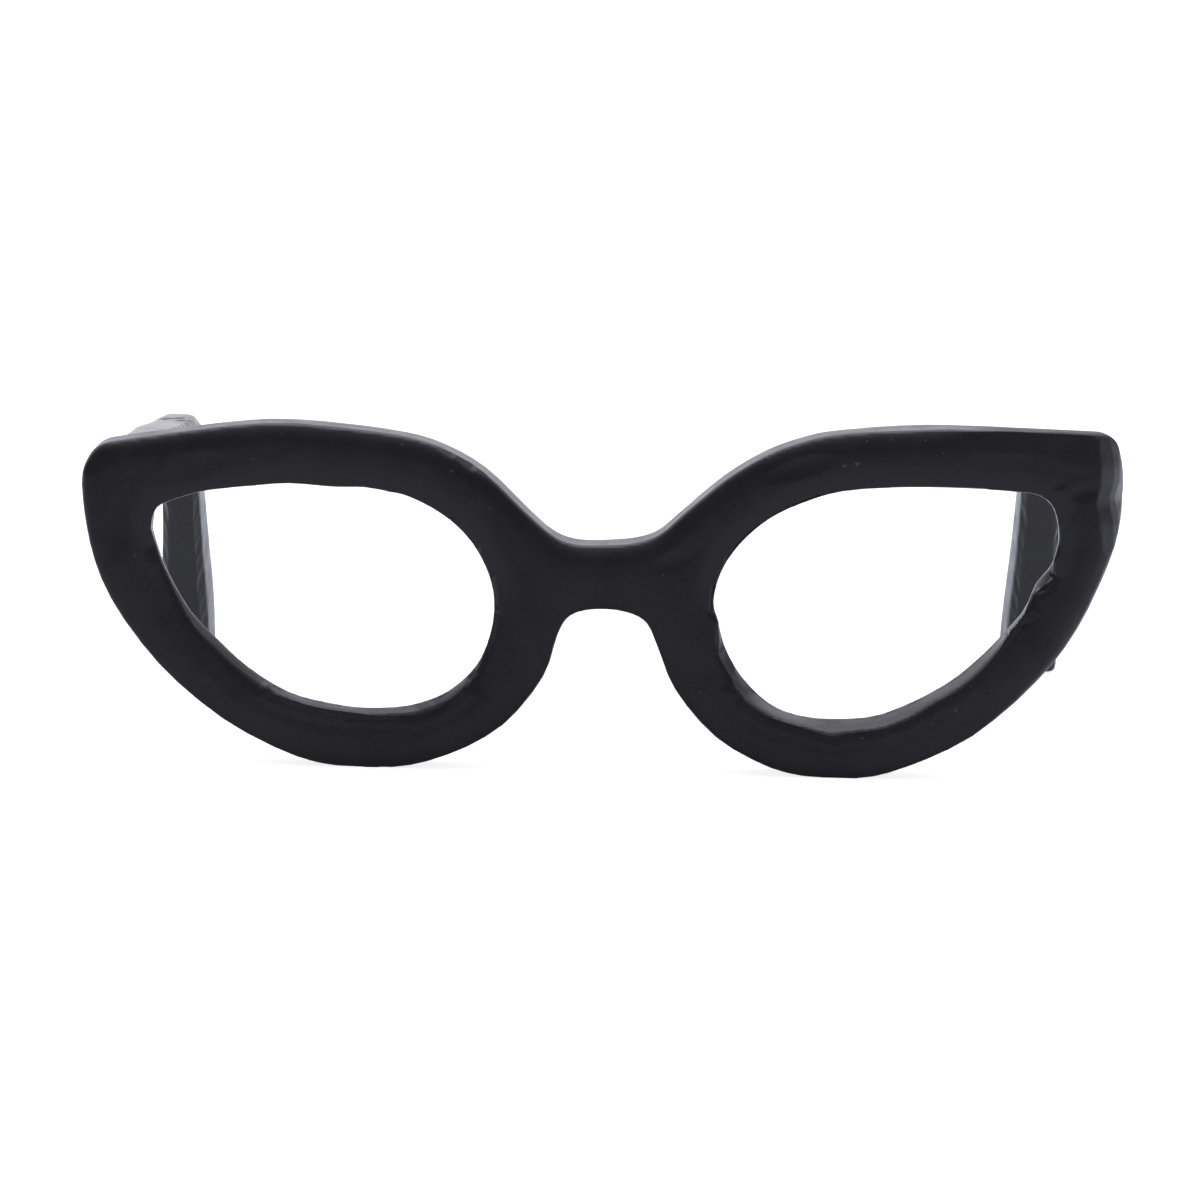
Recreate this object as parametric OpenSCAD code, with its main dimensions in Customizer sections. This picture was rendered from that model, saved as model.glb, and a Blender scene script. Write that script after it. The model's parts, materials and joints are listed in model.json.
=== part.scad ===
// Cat-eye spectacles sculpture: a heavy hand-formed front on its two rims, with a temple folding at each end.
// X runs to the viewer's right, Y to the back and Z up from the table, in millimetres.

/* [Front] */
// Width of the front over both corners
front_w = 420; // [336:1:504]
// Height of the front, table to the top of the higher brow
front_h = 142.2; // [118:0.2:171]
// Thickness of the front, face to back
front_t = 26; // [18:0.5:34]
// Rounding of the front's outer edges
edge_r = 1.5; // [1:0.25:3]
// Rounding of the outer edge at the viewer's right-hand corner
corner_edge_r = 5.5; // [3:0.25:6]
// How much broader that rounding is on the face, down the right-hand end
end_roll = 4; // [0:0.25:5]
// Depth ground off the low point of each rim, so that it stands flat
ground_flat = 0.4; // [0.2:0.1:0.8]

/* [Lens openings] */
// Width of the rim outside the right-hand opening
band_side = 26.8; // [24:0.1:32]
// How much wider the rim is outside the left-hand opening
side_step = 1.2; // [0:0.1:2]
// Width of the brow above the right-hand opening
band_top = 23.5; // [19.5:0.5:28.5]
// How much lower the left-hand opening's top is
brow_step = 4.1; // [0:0.1:6]
// Width of the rim below the openings
band_bottom = 24.4; // [20:0.2:29]
// Width of the nose piece between the openings
bridge_land = 88.4; // [78:0.2:106]
// How far the nose piece stands to the viewer's right
bridge_shift = 1.2; // [0:0.2:2]
// Rounding of the openings' front edges
lens_edge_r = 1.5; // [1:0.25:3]
// Rounding of the openings' back edges
lens_back_r = 1.5; // [1:0.25:2]
// How far the openings widen towards the back, at the sides and above
lens_side_flare = 1.25; // [0:0.25:2]
// How far the openings widen towards the back, below
lens_low_flare = 4.25; // [1:0.25:6]
// Width of the bevel along the lower edge of the left opening
left_bevel = 3; // [1.5:0.25:4]
// Width of the bevel along the lower edge of the right opening
right_bevel = 6; // [1.5:0.25:7]
// Depth of these bevels, as a multiple of their width
bevel_slope = 2.2; // [1:0.1:2.3]

/* [Bridge] */
// Height of the bridge's underside above the table
nose_h = 66.5; // [55:0.5:74]
// Height of the bar over the nose
bridge_bar = 25.8; // [21:0.2:31]
// Width of the nose gap, just under its arch
nose_w = 41; // [34:0.5:50]

/* [Temples] */
// Distance from the joint back to the end of the tips
temple_reach = 310; // [258:1:372]
// Height of the temples' straight top above the table
temple_top = 117.5; // [100:0.5:122]
// How far the temple stands in from the front's corner
temple_inset = 2.5; // [2:0.25:6]
// Distance that the temple comes in from its root to its drop
toe_in = 3; // [0:0.25:4]
// Width of the temple at its root, side to side
root_w = 20; // [18:0.5:24]
// Height of the temple at its root
root_h = 16; // [15:0.5:20]
// Width of the temple half way along
mid_w = 25; // [20:0.5:26]
// Height of the temple half way along
mid_h = 18; // [16:0.5:24]
// Width of the temple at the ear bend
bend_w = 19; // [16:0.5:24]
// Thickness of the temple at the ear bend
bend_h = 20; // [18:0.5:26]
// Width of the tip
tip_w = 25.7; // [20:0.1:26]
// Thickness of the tip
tip_h = 22.5; // [18:0.5:28]
// Rounding of the temples' long edges
temple_edge_r = 4; // [2:0.5:5]
// Lean of the drop, from plumb towards the back
drop_lean = 28; // [15:1:40]
// Radius of the ear bend, at mid-thickness
bend_r = 34; // [24:1:50]
// Chamfer round the foot of each tip
foot_edge = 1.2; // [0.5:0.1:2]

/* [Hinges] */
// Height of the hinge leaves and barrel
hinge_h = 11; // [9:0.5:11.5]
// Outer radius of the barrel
barrel_r = 3.5; // [3:0.1:4]
// Radius of the hinge pin
pin_r = 1.5; // [1:0.1:2]
// Thickness of the leaves
leaf_t = 1.5; // [1:0.1:2]
// Length of the leaf let into the front
front_leaf_l = 14.5; // [13.5:0.5:15]
// Length of the leaf let into the temple, past the barrel
temple_leaf_l = 22; // [18:0.5:28]
// Distance from the pin's axis to the near end of the leaf let into the front
leaf_start = 1; // [0.5:0.25:2]
// Shank radius of the screws
screw_r = 1.2; // [0.8:0.1:1.4]
// Head radius of the screws
screw_head_r = 2.2; // [1.6:0.1:2.4]
// Length of the screws
screw_l = 11; // [8:0.5:14]

/* [Clearances] */
// Gap between the temple's end and the front's back face
joint_gap = 0.3; // [0.2:0.05:0.6]
// Gap round the barrel in the temple's notch
notch_gap = 0.4; // [0.3:0.05:0.8]
// Gap between neighbouring knuckles
knuckle_gap = 0.2; // [0.1:0.05:0.4]
// Gap between the barrel and the front's back face
barrel_lift = 0.5; // [0.3:0.05:1]
// Radial play of the pin in its bores, and of the screws in their holes
pin_gap = 0.05; // [0.02:0.01:0.1]
// Gap round a leaf in its mortise
leaf_gap = 0.1; // [0.05:0.01:0.2]

/* [Hidden] */
$fn = 48;

left = -1;
right = 1;
sway_depth = 0.4;
sway_l = 130; // length of one wave of the faces' sway
black = [0.13, 0.14, 0.15];
dark_steel = [0.2, 0.2, 0.21];
past = 1; // how far a cut runs past the face it opens

// The part is as deep as the front, the joint and the temples, and is centred on its depth
y_front = -(front_t + joint_gap + temple_reach) / 2;
y_back = y_front + front_t;
y_joint = y_back + joint_gap;

// Temple: centre line, root faces and the drop behind the ear
temple_x = front_w / 2 - temple_inset - root_w / 2;
temple_z = temple_top - bend_h / 2;
root_l = 2 * barrel_r + temple_leaf_l + 6; // the root keeps its section past the end of the leaf
turn = 90 - drop_lean;
foot_y = y_joint + temple_reach - tip_h / 2 / cos(drop_lean) + foot_edge * tan(drop_lean);
bend_y = foot_y - temple_z * tan(drop_lean) - bend_r * tan(turn / 2);
straight_l = bend_y - y_joint;
arc_l = bend_r * turn * PI / 180;
drop_z = temple_z - bend_r * (1 - cos(turn));
drop_l = drop_z / sin(turn);
temple_l = straight_l + arc_l + drop_l;

// Hinge: the barrel lies flush in the inner corner of the temple's end
hinge_x = temple_x - root_w / 2 + barrel_r;
hinge_y = y_back + barrel_r + barrel_lift;
hinge_z = temple_top - root_h / 2;
knuckle_h = (hinge_h - 2 * knuckle_gap) / 3;
notch_r = barrel_r + notch_gap;
bore_r = pin_r + pin_gap;
hole_r = screw_r + pin_gap;
sink_h = screw_head_r - screw_r; // countersinks are cut at 45 degrees
// Screws: along the leaf from the pin's axis, and up from the leaf's middle
front_screw_pos = [[barrel_r + screw_head_r + 0.6, -hinge_h / 5],
                   [front_leaf_l - leaf_start - screw_head_r - 1, hinge_h / 5]];
temple_screw_pos = [[notch_r + 5.5, 0], [notch_r + temple_leaf_l - 5.5, 0]];

// Outline of the front, clockwise as the viewer sees it. Rims and brows are shares of the half width
// and of the height, in percent.
left_brow = [[-100, 79.5], [-98.9, 86.6], [-96.5, 90.5], [-92.3, 92], [-84.6, 93.8], [-71.4, 96.6],
             [-61.4, 97.6], [-50, 96.7], [-38.4, 94.6], [-30.7, 91.4], [-22.9, 85.1], [-15, 74.4]];
right_brow = [[15.8, 74.8], [23.4, 84.5], [31, 91.6], [38.6, 95.9], [46.3, 98.1], [61.6, 100], [76.2, 99.9],
              [92.4, 99.2], [95.9, 98.7], [97.9, 96.9], [98.9, 93.6], [99.8, 86],
              [99.5, 76.2]];
right_rim = [[97.1, 62.4], [91.6, 44], [83.9, 28.6], [71.9, 12.8], [59.5, 3.6], [50, 0], [42.5, 0],
             [33.3, 2.7], [22.6, 11.1], [14.5, 24.5]];
left_rim = [[-10.9, 27.4], [-18.4, 13.3], [-29, 4.1], [-39.5, 0], [-47, 0], [-58.1, 2.9], [-72.4, 13.1],
            [-84.8, 28.3], [-94.1, 46.7], [-98.4, 63]];
// Top of the bridge: millimetres from the middle and from the bar's own height
bridge_top = [[-20, 3.5], [-10, 0.1], [3, 0.2], [14, 1.5], [23, 5]];
// Arch over the nose: shares of half its width and of its height, in percent
nose_arch = [[113, 77], [89.5, 92.3], [49, 98.5], [-10, 100], [-59, 96], [-84.5, 84.2]];

// Outlines of the openings, clockwise, as shares of each opening's own box in percent
left_lens = [[0.3, 80.4], [1.4, 87.3], [4, 90.2], [10, 93.5], [15.8, 95.9], [26.8, 98.1], [40.1, 100],
             [50.4, 99], [54.8, 98.8], [61.7, 98.9], [69.3, 97.1], [75, 95], [85, 87], [93.4, 74.6],
             [98.7, 58.6], [100, 44.8], [98.3, 30.5], [94.2, 19.1], [86.7, 8.5], [75.6, 1.7], [63, 0],
             [51.7, 1.8], [40.3, 6.4], [28.6, 17.4], [20.6, 28.5], [11.9, 42.1], [4.6, 61], [1, 74.6]];
right_lens = [[0, 49.2], [2.1, 61.9], [7.3, 73.7], [15.3, 84.4], [24.7, 91.7], [37.2, 97.7], [55.2, 99.9],
              [72.7, 100], [88, 98.8], [93.7, 98], [98, 93.5], [99.8, 85.5], [100, 77.8], [98.4, 69.9],
              [93.9, 59.9], [89.6, 47.4], [78.7, 28.7], [67.3, 14.7], [50.1, 2.5], [35.6, 0], [24.7, 1.5],
              [17, 6.4], [9.7, 16.5], [4.1, 29.2], [1.5, 41]];

function in_front(p) = [p[0] / 100 * front_w / 2, p[1] / 100 * (front_h + ground_flat) - ground_flat];
function on_bridge(p) = [p[0], nose_h + bridge_bar + p[1]];
function on_nose(p) = [p[0] / 100 * nose_w / 2, p[1] / 100 * nose_h];

front_outline = concat([for (p = left_brow) in_front(p)],
                       [for (p = bridge_top) on_bridge(p)],
                       [for (p = right_brow) in_front(p)],
                       [for (p = right_rim) in_front(p)],
                       [for (p = nose_arch) on_nose(p)],
                       [for (p = left_rim) in_front(p)]);

// Smooth closed curve through the points, with n steps between each two
function curve_at(a, b, c, d, t) =
    ((2 * b) + (c - a) * t + (2 * a - 5 * b + 4 * c - d) * t * t + (3 * b - a - 3 * c + d) * t * t * t) / 2;
function smooth(p, n) = let (m = len(p))
    [for (i = [0 : m - 1])
        for (j = [0 : n - 1])
            curve_at(p[(i + m - 1) % m], p[i], p[(i + 1) % m], p[(i + 2) % m], j / n)];

// Unit normal at point i of a clockwise curve, pointing out of it
function normal_at(p, i) =
    let (m = len(p), t = p[(i + 1) % m] - p[(i + m - 1) % m])
    [-t[1], t[0]] / norm(t);

// Smooth step from 0 to 1 as x passes from one value to the next
function ramp(x, from, to) = let (t = min(1, max(0, (x - from) / (to - from)))) t * t * (3 - 2 * t);

// The front's faces sway by a fraction of a millimetre, as hand-formed ones do. The back stays flat
// where the hinges are let in.
function sway(p) = sway_depth * (1 + sin(360 * p[0] / sway_l + 40) * cos(360 * p[1] / sway_l + 10));
function back_sway(p) = sway(p) * (1 - ramp(abs(p[0]), 0.33 * front_w, 0.41 * front_w));

// One ring in the plane of the front: the curve moved out by d, at depth y. d and y hold one value
// for each point. Nothing reaches below the table.
function plate_ring(p, d, y) =
    [for (i = [0 : len(p) - 1])
        let (q = p[i] + d[i] * normal_at(p, i))
        [q[0], y[i], max(0, q[1])]];

// Profile of an edge between the face and a wall at the angle a, across the face and into the depth: a
// quarter round for c = 0, and a flat bevel for c = 1
function edge_across(a, c) = (1 - c) * (1 - sin(a)) + c * (1 - a / 90);
function edge_deep(a, c) = (1 - c) * (1 - cos(a)) + c * a / 90;

// Rings of a wall from face to back. Its edge at the face is w wide and r deep with the profile c, and its
// edge at the back has the radius s. It leans out by the flare f. Way is -1 for an outer wall, 1 for an
// opening's.
function rounded_wall(p, w, r, c, s, f, way) =
    concat([for (a = corner_angles)
                plate_ring(p, [for (i = [0 : len(p) - 1]) way * w[i] * edge_across(a, c[i])],
                           [for (i = [0 : len(p) - 1]) y_front + sway(p[i]) + r[i] * edge_deep(a, c[i])])],
           [for (a = reversed(corner_angles))
                plate_ring(p, way * s * (1 - sin(a)) + f,
                           [for (i = [0 : len(p) - 1]) y_back - back_sway(p[i]) - s[i] * (1 - cos(a))])]);

// Triangles of the wall between rings of n points, numbered from the first point on
function wall(first, n, rings) =
    [for (k = [0 : rings - 2])
        for (i = [0 : n - 1])
            let (a = first + k * n + i, b = first + k * n + (i + 1) % n)
            each [[a, a + n, b + n], [a, b + n, b]]];
function reversed(list) = [for (i = [len(list) - 1 : -1 : 0]) list[i]];
function all_reversed(faces) = [for (f = faces) reversed(f)];
function flat(lists) = [for (l = lists) each l];

// Solid between rings of equal length, each clockwise as seen from the first one's side
module loft(rings) {
    n = len(rings[0]);
    near = [for (i = [0 : n - 1]) i];
    far = [for (i = near) i + (len(rings) - 1) * n];
    polyhedron(flat(rings), concat(wall(0, n, len(rings)), [near, reversed(far)]), convexity = 10);
}

// Places its children, drawn for the right-hand side, on either side
module on_side(side) {
    if (side == left) mirror([1, 0, 0]) children();
    else children();
}

// Rounding of the outer edge: it grows towards the right-hand corner, and is broader down that end
function outer_edge(p) = edge_r + (corner_edge_r - edge_r) * ramp(p[0], 0.35 * front_w, 0.46 * front_w);
function outer_roll(p) = outer_edge(p) + end_roll * ramp(p[0], 0.42 * front_w, 0.47 * front_w)
    * ramp(p[1], 0.3 * front_h, 0.55 * front_h) * (1 - ramp(p[1], 0.76 * front_h, 0.88 * front_h));

// Flare of an opening at point i of its curve. It grows as the wall turns to face up, so that only a thin
// line of the wall shows from the front.
function lens_flare(p, i) =
    lens_side_flare + (lens_low_flare - lens_side_flare) * max(0, -normal_at(p, i)[1]);

// The lower edge of an opening is bevelled, to the full width below and fading out up its sides
function low_share(p, i) = ramp(-normal_at(p, i)[1], 0.3, 0.75);
function bevel_w(p, i, w) = lens_edge_r + (w - lens_edge_r) * low_share(p, i);
function bevel_r(p, i, w) = lens_edge_r + (w * bevel_slope - lens_edge_r) * low_share(p, i);

edge_steps = 3;
corner_angles = [for (k = [0 : edge_steps]) 90 * k / edge_steps];
curve_steps = 3;

// Curve of an opening whose box has its lower left corner at low. Where the edge is bevelled, the curve
// is set back, because the eye looks down over the bevel.
bevel_set_back = 0.14;
function set_back(p, w) =
    [for (i = [0 : len(p) - 1])
        p[i] + bevel_set_back * (bevel_r(p, i, w) - lens_edge_r) * normal_at(p, i)];
function lens_curve(shape, low, size, w) =
    set_back(smooth([for (s = shape) low + [s[0] * size[0], s[1] * size[1]] / 100], curve_steps), w);

opening_w = front_w / 2 - band_side - bridge_land / 2;
opening_h = front_h - band_top - band_bottom;
outer = smooth(front_outline, curve_steps);
lens_l = lens_curve(left_lens, [-front_w / 2 + band_side + side_step, band_bottom],
                    [opening_w - side_step + bridge_shift, opening_h - brow_step], left_bevel);
lens_r = lens_curve(right_lens, [bridge_land / 2 + bridge_shift, band_bottom],
                    [opening_w - bridge_shift, opening_h], right_bevel);

// A corner of the front's face is named by its curve, 0 for the outline, 1 and 2 for the openings,
// and by its point on that curve. A chain runs clockwise from point a to point b, or all round.
curves = [outer, lens_l, lens_r];
function chain(curve, a, b) =
    let (n = len(curves[curve]))
    [for (i = [a : b + (b <= a ? n : 0)]) [curve, i % n]];
function place(corner) = curves[corner[0]][corner[1]];

// Strip of triangles between the chains a and b, which run side by side with a above b. It steps along
// the chain that gives the shorter crossing edge, or in even measure along both.
function steps_on_a(a, b, s, even) =
    s[1] == len(b) - 1 ? true :
    s[0] == len(a) - 1 ? false :
    even ? s[0] * (len(b) - 1) <= s[1] * (len(a) - 1) :
    norm(place(a[s[0] + 1]) - place(b[s[1]])) <= norm(place(a[s[0]]) - place(b[s[1] + 1]));
function strip(a, b, even = false) =
    [for (s = [0, 0]; s[0] + s[1] < len(a) + len(b) - 2;
          s = steps_on_a(a, b, s, even) ? [s[0] + 1, s[1]] : [s[0], s[1] + 1])
        steps_on_a(a, b, s, even) ? [a[s[0]], a[s[0] + 1], b[s[1]]]
                                  : [a[s[0]], b[s[1] + 1], b[s[1]]]];

// The face is a band round each opening, and the bridge between the openings' points nearest the nose
function face_triangles() =
    let (brow_l = curve_steps * (len(left_brow) - 1),
         brow_r = brow_l + curve_steps * (len(bridge_top) + 1),
         rim_r = brow_r + curve_steps * (len(right_brow) + len(right_rim) - 1),
         rim_l = rim_r + curve_steps * (len(nose_arch) + 1),
         l_nose = curve_steps * 15, r_nose = 0)
    concat(strip(chain(0, rim_l, brow_l), chain(1, l_nose, l_nose)),
           strip(chain(0, brow_r, rim_r), chain(2, r_nose, r_nose)),
           strip(concat([[1, l_nose]], chain(0, brow_l, brow_r), [[2, r_nose]]),
                 reversed(chain(0, rim_r, rim_l)), even = true));

// Wall of an opening whose lower bevel is w wide
function opening_wall(p, w) =
    let (all = [0 : len(p) - 1])
    rounded_wall(p, [for (i = all) bevel_w(p, i, w)], [for (i = all) bevel_r(p, i, w)],
                 [for (i = all) 0.7 * low_share(p, i)], [for (i = all) lens_back_r],
                 [for (i = all) lens_flare(p, i)], 1);

// Front with its two openings and all its edges rounded
module front_casting() {
    walls = [rounded_wall(outer, [for (p = outer) outer_roll(p)], [for (p = outer) outer_edge(p)],
                          [for (p = outer) 0], [for (p = outer) edge_r], [for (p = outer) 0], -1),
             opening_wall(lens_l, left_bevel), opening_wall(lens_r, right_bevel)];
    rings = len(walls[0]);
    n = [for (c = curves) len(c)];
    first = [0, rings * n[0], rings * (n[0] + n[1])];
    face = face_triangles();
    near = [for (t = face) [for (c = t) first[c[0]] + c[1]]];
    far = [for (t = face) [for (c = t) first[c[0]] + (rings - 1) * n[c[0]] + c[1]]];
    polyhedron([for (w = walls) each flat(w)],
               concat(wall(first[0], n[0], rings),
                      all_reversed(wall(first[1], n[1], rings)),
                      all_reversed(wall(first[2], n[2], rings)),
                      near,
                      all_reversed(far)),
               convexity = 10);
}

// Countersunk screw hole, opening along +Z at the origin
module screw_hole(depth) {
    translate([0, 0, -depth]) cylinder(r = hole_r, h = depth + past);
    translate([0, 0, -sink_h]) cylinder(r1 = hole_r, r2 = hole_r + sink_h, h = sink_h);
    cylinder(r = hole_r + sink_h, h = past);
}

// Countersunk screw with a slotted head, its head's face at the origin and looking along +Z
module screw() {
    slot_w = 0.6;
    slot_d = 0.5;
    difference() {
        union() {
            translate([0, 0, -sink_h]) cylinder(r1 = screw_r, r2 = screw_head_r, h = sink_h);
            translate([0, 0, -screw_l]) cylinder(r = screw_r, h = screw_l - sink_h);
        }
        translate([-screw_head_r - past, -slot_w / 2, -slot_d])
            cube([2 * (screw_head_r + past), slot_w, slot_d + past]);
    }
}

// Places its children at the front leaf's two screws, looking out of the front's back face
module at_front_screws() {
    for (p = front_screw_pos)
        translate([hinge_x + p[0], y_back, hinge_z + p[1]]) rotate([-90, 0, 0]) children();
}

// Places its children at the temple leaf's two screws, looking out of the temple's inner face
module at_temple_screws() {
    for (p = temple_screw_pos)
        translate([hinge_x - barrel_r, hinge_y + p[0], hinge_z + p[1]]) rotate([0, -90, 0]) children();
}

module front_frame() {
    color(black)
    difference() {
        front_casting();
        for (side = [left, right])
            on_side(side) {
                // Mortise and screw holes for the leaf
                translate([hinge_x - leaf_start - leaf_gap, y_back - leaf_t,
                           hinge_z - hinge_h / 2 - leaf_gap])
                    cube([front_leaf_l + 2 * leaf_gap, leaf_t + past, hinge_h + 2 * leaf_gap]);
                at_front_screws() translate([0, 0, -screw_l - 1]) cylinder(r = hole_r, h = screw_l + 1);
            }
    }
}

// Size of the temple along its length: root, middle, bend and tip
function ease(a, b, t) = a + (b - a) * (1 - cos(180 * min(1, max(0, t)))) / 2;
mid_s = 0.42 * temple_l;
bend_s = straight_l + 0.6 * arc_l;
function along(s, root, mid, bend, tip) =
    s < root_l ? root :
    s < mid_s ? ease(root, mid, (s - root_l) / (mid_s - root_l)) :
    s < bend_s ? ease(mid, bend, (s - mid_s) / (bend_s - mid_s)) :
    ease(bend, tip, (s - bend_s) / (temple_l - bend_s));
function temple_w_at(s) = along(s, root_w, mid_w, bend_w, tip_w);
function temple_h_at(s) = along(s, root_h, mid_h, bend_h, tip_h);
function toe_at(s) = ease(0, toe_in, (s - root_l) / (straight_l - root_l));

// Rounded rectangle, clockwise
function rounded_rect(w, h, r) =
    [for (q = [0 : 3])
        for (k = [0 : 4])
            let (a = 180 - 90 * q - 22.5 * k,
                 c = [(q == 1 || q == 2 ? 1 : -1) * (w / 2 - r), (q < 2 ? 1 : -1) * (h / 2 - r)])
            c + r * [cos(a), sin(a)]];

// Centre line of the temple: [y, z, downward slope] at the length s from the joint
function path_at(s) =
    s < straight_l ? [y_joint + s, temple_z, 0] :
    s < straight_l + arc_l ?
        let (a = (s - straight_l) / bend_r * 180 / PI)
        [bend_y + bend_r * sin(a), temple_z - bend_r * (1 - cos(a)), a] :
    let (e = s - straight_l - arc_l)
    [bend_y + bend_r * sin(turn) + e * cos(turn), drop_z - e * sin(turn), turn];

// Section of the temple at s, kept level along its top while it runs straight
function temple_ring(s) =
    let (c = path_at(s), h = temple_h_at(s), top = ease((bend_h - h) / 2, 0, (s - straight_l) / arc_l),
         x = temple_x - toe_at(s))
    [for (q = rounded_rect(temple_w_at(s), h, temple_edge_r))
        [x + q[0], c[0] + (q[1] + top) * sin(c[2]), c[1] + (q[1] + top) * cos(c[2])]];

// The foot: the drop's section carried down to the height z, with its edge drawn in
function foot_ring(z, inset) =
    [for (q = rounded_rect(tip_w - 2 * inset, tip_h - 2 * inset, temple_edge_r - inset))
        [temple_x - toe_in + q[0], foot_y + q[1] / cos(drop_lean) - z * tan(drop_lean), z]];

straight_steps = 9;
arc_steps = 7;
drop_steps = 5;
drop_stop = drop_l - (tip_h / 2 + 2 * foot_edge) / sin(turn);

// Temple for the right-hand side, before its joint is cut
module temple_blank() {
    stations = concat([0, root_l],
                      [for (k = [1 : straight_steps]) root_l + (straight_l - root_l) * k / straight_steps],
                      [for (k = [1 : arc_steps]) straight_l + arc_l * k / arc_steps],
                      [for (k = [1 : drop_steps]) straight_l + arc_l + drop_stop * k / drop_steps]);
    loft(concat([for (s = stations) temple_ring(s)], [foot_ring(foot_edge, 0), foot_ring(0, foot_edge)]));
}

module temple(side) {
    notch_x = hinge_x + notch_r;
    notch_y = hinge_y + notch_r;
    color(black)
    on_side(side)
    difference() {
        temple_blank();
        // The inner corner is notched for the barrel
        translate([notch_x - root_w, y_joint - past, temple_z - root_h])
            cube([root_w, notch_y - y_joint + past, 2 * root_h]);
        // Mortise and screw holes for the leaf
        translate([hinge_x - barrel_r - past, notch_y - past, hinge_z - hinge_h / 2 - leaf_gap])
            cube([past + leaf_t, past + temple_leaf_l + leaf_gap, hinge_h + 2 * leaf_gap]);
        at_temple_screws() translate([0, 0, -screw_l - 1]) cylinder(r = hole_r, h = screw_l + 1);
    }
}

module temple_left() { temple(left); }
module temple_right() { temple(right); }

// Barrel length number k of three, counted from below
module knuckle(k) {
    translate([hinge_x, hinge_y, hinge_z - hinge_h / 2 + k * (knuckle_h + knuckle_gap)])
        cylinder(r = barrel_r, h = knuckle_h);
}

// Bore through all three knuckles
module barrel_bore() {
    translate([hinge_x, hinge_y, hinge_z - hinge_h]) cylinder(r = bore_r, h = 2 * hinge_h);
}

// Leaf in the front's back face, with the lowest and highest knuckle
module hinge_leaf_front(side) {
    color(dark_steel)
    on_side(side)
    difference() {
        union() {
            translate([hinge_x - leaf_start, y_back - leaf_t, hinge_z - hinge_h / 2])
                cube([front_leaf_l, leaf_t, hinge_h]);
            for (k = [0, 2]) {
                knuckle(k);
                translate([hinge_x - leaf_start, y_back - leaf_t / 2,
                           hinge_z - hinge_h / 2 + k * (knuckle_h + knuckle_gap)])
                    cube([leaf_start + barrel_r, hinge_y - y_back + leaf_t / 2, knuckle_h]);
            }
        }
        barrel_bore();
        at_front_screws() screw_hole(leaf_t + past);
    }
}

module hinge_leaf_front_left() { hinge_leaf_front(left); }
module hinge_leaf_front_right() { hinge_leaf_front(right); }

// Leaf in the temple's inner face, with the middle knuckle
module hinge_leaf_temple(side) {
    leaf_y = hinge_y + notch_r;
    color(dark_steel)
    on_side(side)
    difference() {
        union() {
            translate([hinge_x - barrel_r, leaf_y, hinge_z - hinge_h / 2])
                cube([leaf_t, temple_leaf_l, hinge_h]);
            knuckle(1);
            translate([hinge_x - barrel_r, hinge_y, hinge_z - knuckle_h / 2])
                cube([leaf_t, notch_r + past, knuckle_h]);
        }
        barrel_bore();
        at_temple_screws() screw_hole(leaf_t + past);
    }
}

module hinge_leaf_temple_left() { hinge_leaf_temple(left); }
module hinge_leaf_temple_right() { hinge_leaf_temple(right); }

// Hinge pin with a slotted head that rests on the top knuckle
module hinge_pin(side) {
    head_r = barrel_r - 0.7;
    head_h = 1.2;
    slot_w = 0.8;
    slot_d = 0.6;
    tail = 0.5;
    color(dark_steel)
    on_side(side)
    translate([hinge_x, hinge_y, hinge_z + hinge_h / 2])
    difference() {
        union() {
            translate([0, 0, -hinge_h - tail]) cylinder(r = pin_r, h = hinge_h + tail + head_h / 2);
            cylinder(r = head_r, h = head_h);
        }
        translate([-head_r - past, -slot_w / 2, head_h - slot_d])
            cube([2 * (head_r + past), slot_w, slot_d + past]);
    }
}

module hinge_pin_left() { hinge_pin(left); }
module hinge_pin_right() { hinge_pin(right); }

module front_screws(side) { color(dark_steel) on_side(side) at_front_screws() screw(); }
module temple_screws(side) { color(dark_steel) on_side(side) at_temple_screws() screw(); }

module front_screws_left() { front_screws(left); }
module front_screws_right() { front_screws(right); }
module temple_screws_left() { temple_screws(left); }
module temple_screws_right() { temple_screws(right); }

front_frame();
temple_left();
temple_right();
hinge_leaf_front_left();
hinge_leaf_front_right();
hinge_leaf_temple_left();
hinge_leaf_temple_right();
hinge_pin_left();
hinge_pin_right();
front_screws_left();
front_screws_right();
temple_screws_left();
temple_screws_right();
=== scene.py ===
# %% [markdown]
# A pair of oversize cat-eye spectacles, cast and lacquered satin black, stands on a pale table on its two
# rims and two temple tips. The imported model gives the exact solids. This file gives them their looks: the
# soft hand-formed surface, the whittled edges, the lacquer, the blackened hinges and the studio.

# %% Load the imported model
import json
import math
import random

import bpy
import numpy as np
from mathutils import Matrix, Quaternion, Vector, noise
from mathutils.kdtree import KDTree

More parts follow.
